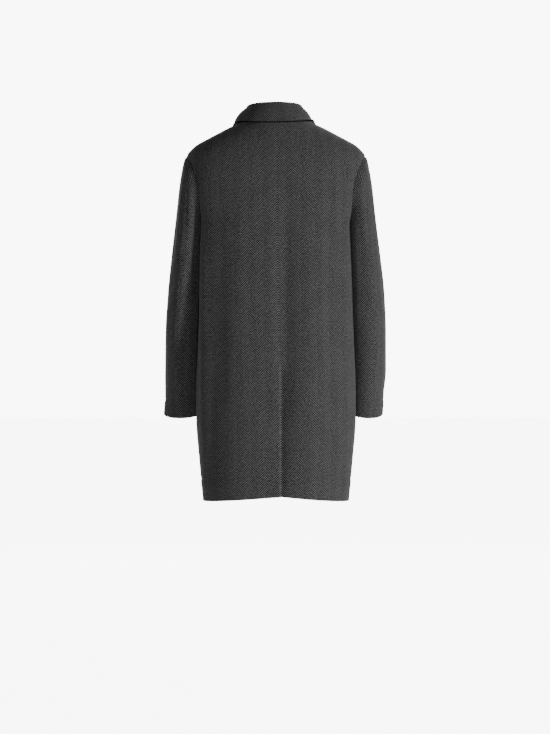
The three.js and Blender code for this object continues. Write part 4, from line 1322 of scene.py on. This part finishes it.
def button_thread():
    """Two bars of thread through the holes and the wound shank under the button."""
    bars = []
    reach = HOLE_SPREAD + 0.2
    foot = 1.2  # where a thread starts in its hole, above the button's back
    x = np.linspace(-reach, reach, 9)
    arch = DISH_TOP + BAR_RISE * np.cos(x / reach * math.pi / 2)
    for y in (-HOLE_SPREAD, HOLE_SPREAD):
        for beside in (-BAR_SPREAD, BAR_SPREAD):
            over = np.stack([x, 0 * x + y + beside, arch], -1)
            line = [(-reach, y + beside, foot), *over, (reach, y + beside, foot)]
            bars.append(tube_along("thread", np.array(line) * MM, THREAD_RADIUS * MM))
    turn = np.linspace(0, 2 * math.pi * SHANK_TURNS, 60)
    height = SHANK_HEIGHT * turn / turn[-1] + SHANK_BOTTOM
    wound = np.stack([SHANK_RADIUS * np.cos(turn), SHANK_RADIUS * np.sin(turn), height], -1)
    bars.append(tube_along("thread", wound * MM, THREAD_RADIUS * MM))
    return joined("thread", bars)


blank = button_blank()
blank_thread = button_thread()
for number in range(BUTTONS):
    place, out, up = front_spot(0.0, FIRST_BUTTON_Z - BUTTON_PITCH * number)
    right = np.cross(up, out)
    spot = (place + out * LIFT) * MM
    turn = Matrix([[right[i], up[i], out[i], spot[i]] for i in range(3)] + [[0, 0, 0, 1]])
    for source, name, stuff, slot in (
        (blank, "horn_button_%d", HORN, "buttons"),
        (blank_thread, "button_thread_%d", THREAD, "wool"),
    ):
        piece = bpy.data.objects.new(name % (number + 1), source.data.copy())
        bpy.context.scene.collection.objects.link(piece)
        piece.data.transform(turn)
        nodes = ["button_%d" % (number + 1)] if source is blank else []
        finish_piece(piece, stuff, slot, *nodes)
bpy.data.objects.remove(blank)
bpy.data.objects.remove(blank_thread)


HOLE_START = 4.0  # the buttonhole's slit, from the button's middle towards the coat's left
HOLE_END = 27.0
HALF_SLIT = 1.6
STITCH_PITCH = 1.15
STITCH_LINE = [(-1.1, -0.3), (-0.9, 0.5), (0, 0.75), (0.9, 0.5), (1.2, -0.3)]  # across, up


def buttonhole(number):
    """A worked buttonhole: two lips of close stitches that fan round its end."""
    z = FIRST_BUTTON_Z - BUTTON_PITCH * number
    upper = [(x, HALF_SLIT) for x in np.arange(HOLE_START, HOLE_END, STITCH_PITCH)]
    turns = np.linspace(0.2, math.pi - 0.2, 6)
    fan = [(HOLE_END + HALF_SLIT * math.sin(a), HALF_SLIT * math.cos(a)) for a in turns]
    lower = [(x, -HALF_SLIT) for x in np.arange(HOLE_END, HOLE_START, -STITCH_PITCH)]
    stitches = []
    for x, rise in upper + fan + lower:
        place, out, up = front_spot(x, z + rise)
        if x < HOLE_END:
            sideways = np.sign(rise) * up
        else:
            sideways = unit(np.array([x - HOLE_END + 0.4, 0, rise]))
        line = np.array([place + sideways * reach + out * lift for reach, lift in STITCH_LINE])
        stitches.append(tube_along("stitch", line * MM, STITCH_RADIUS * MM))
    return joined("buttonhole_stitches_%d" % (number + 1), stitches)


for number in range(BUTTONS):
    finish_piece(buttonhole(number), THREAD, "wool")
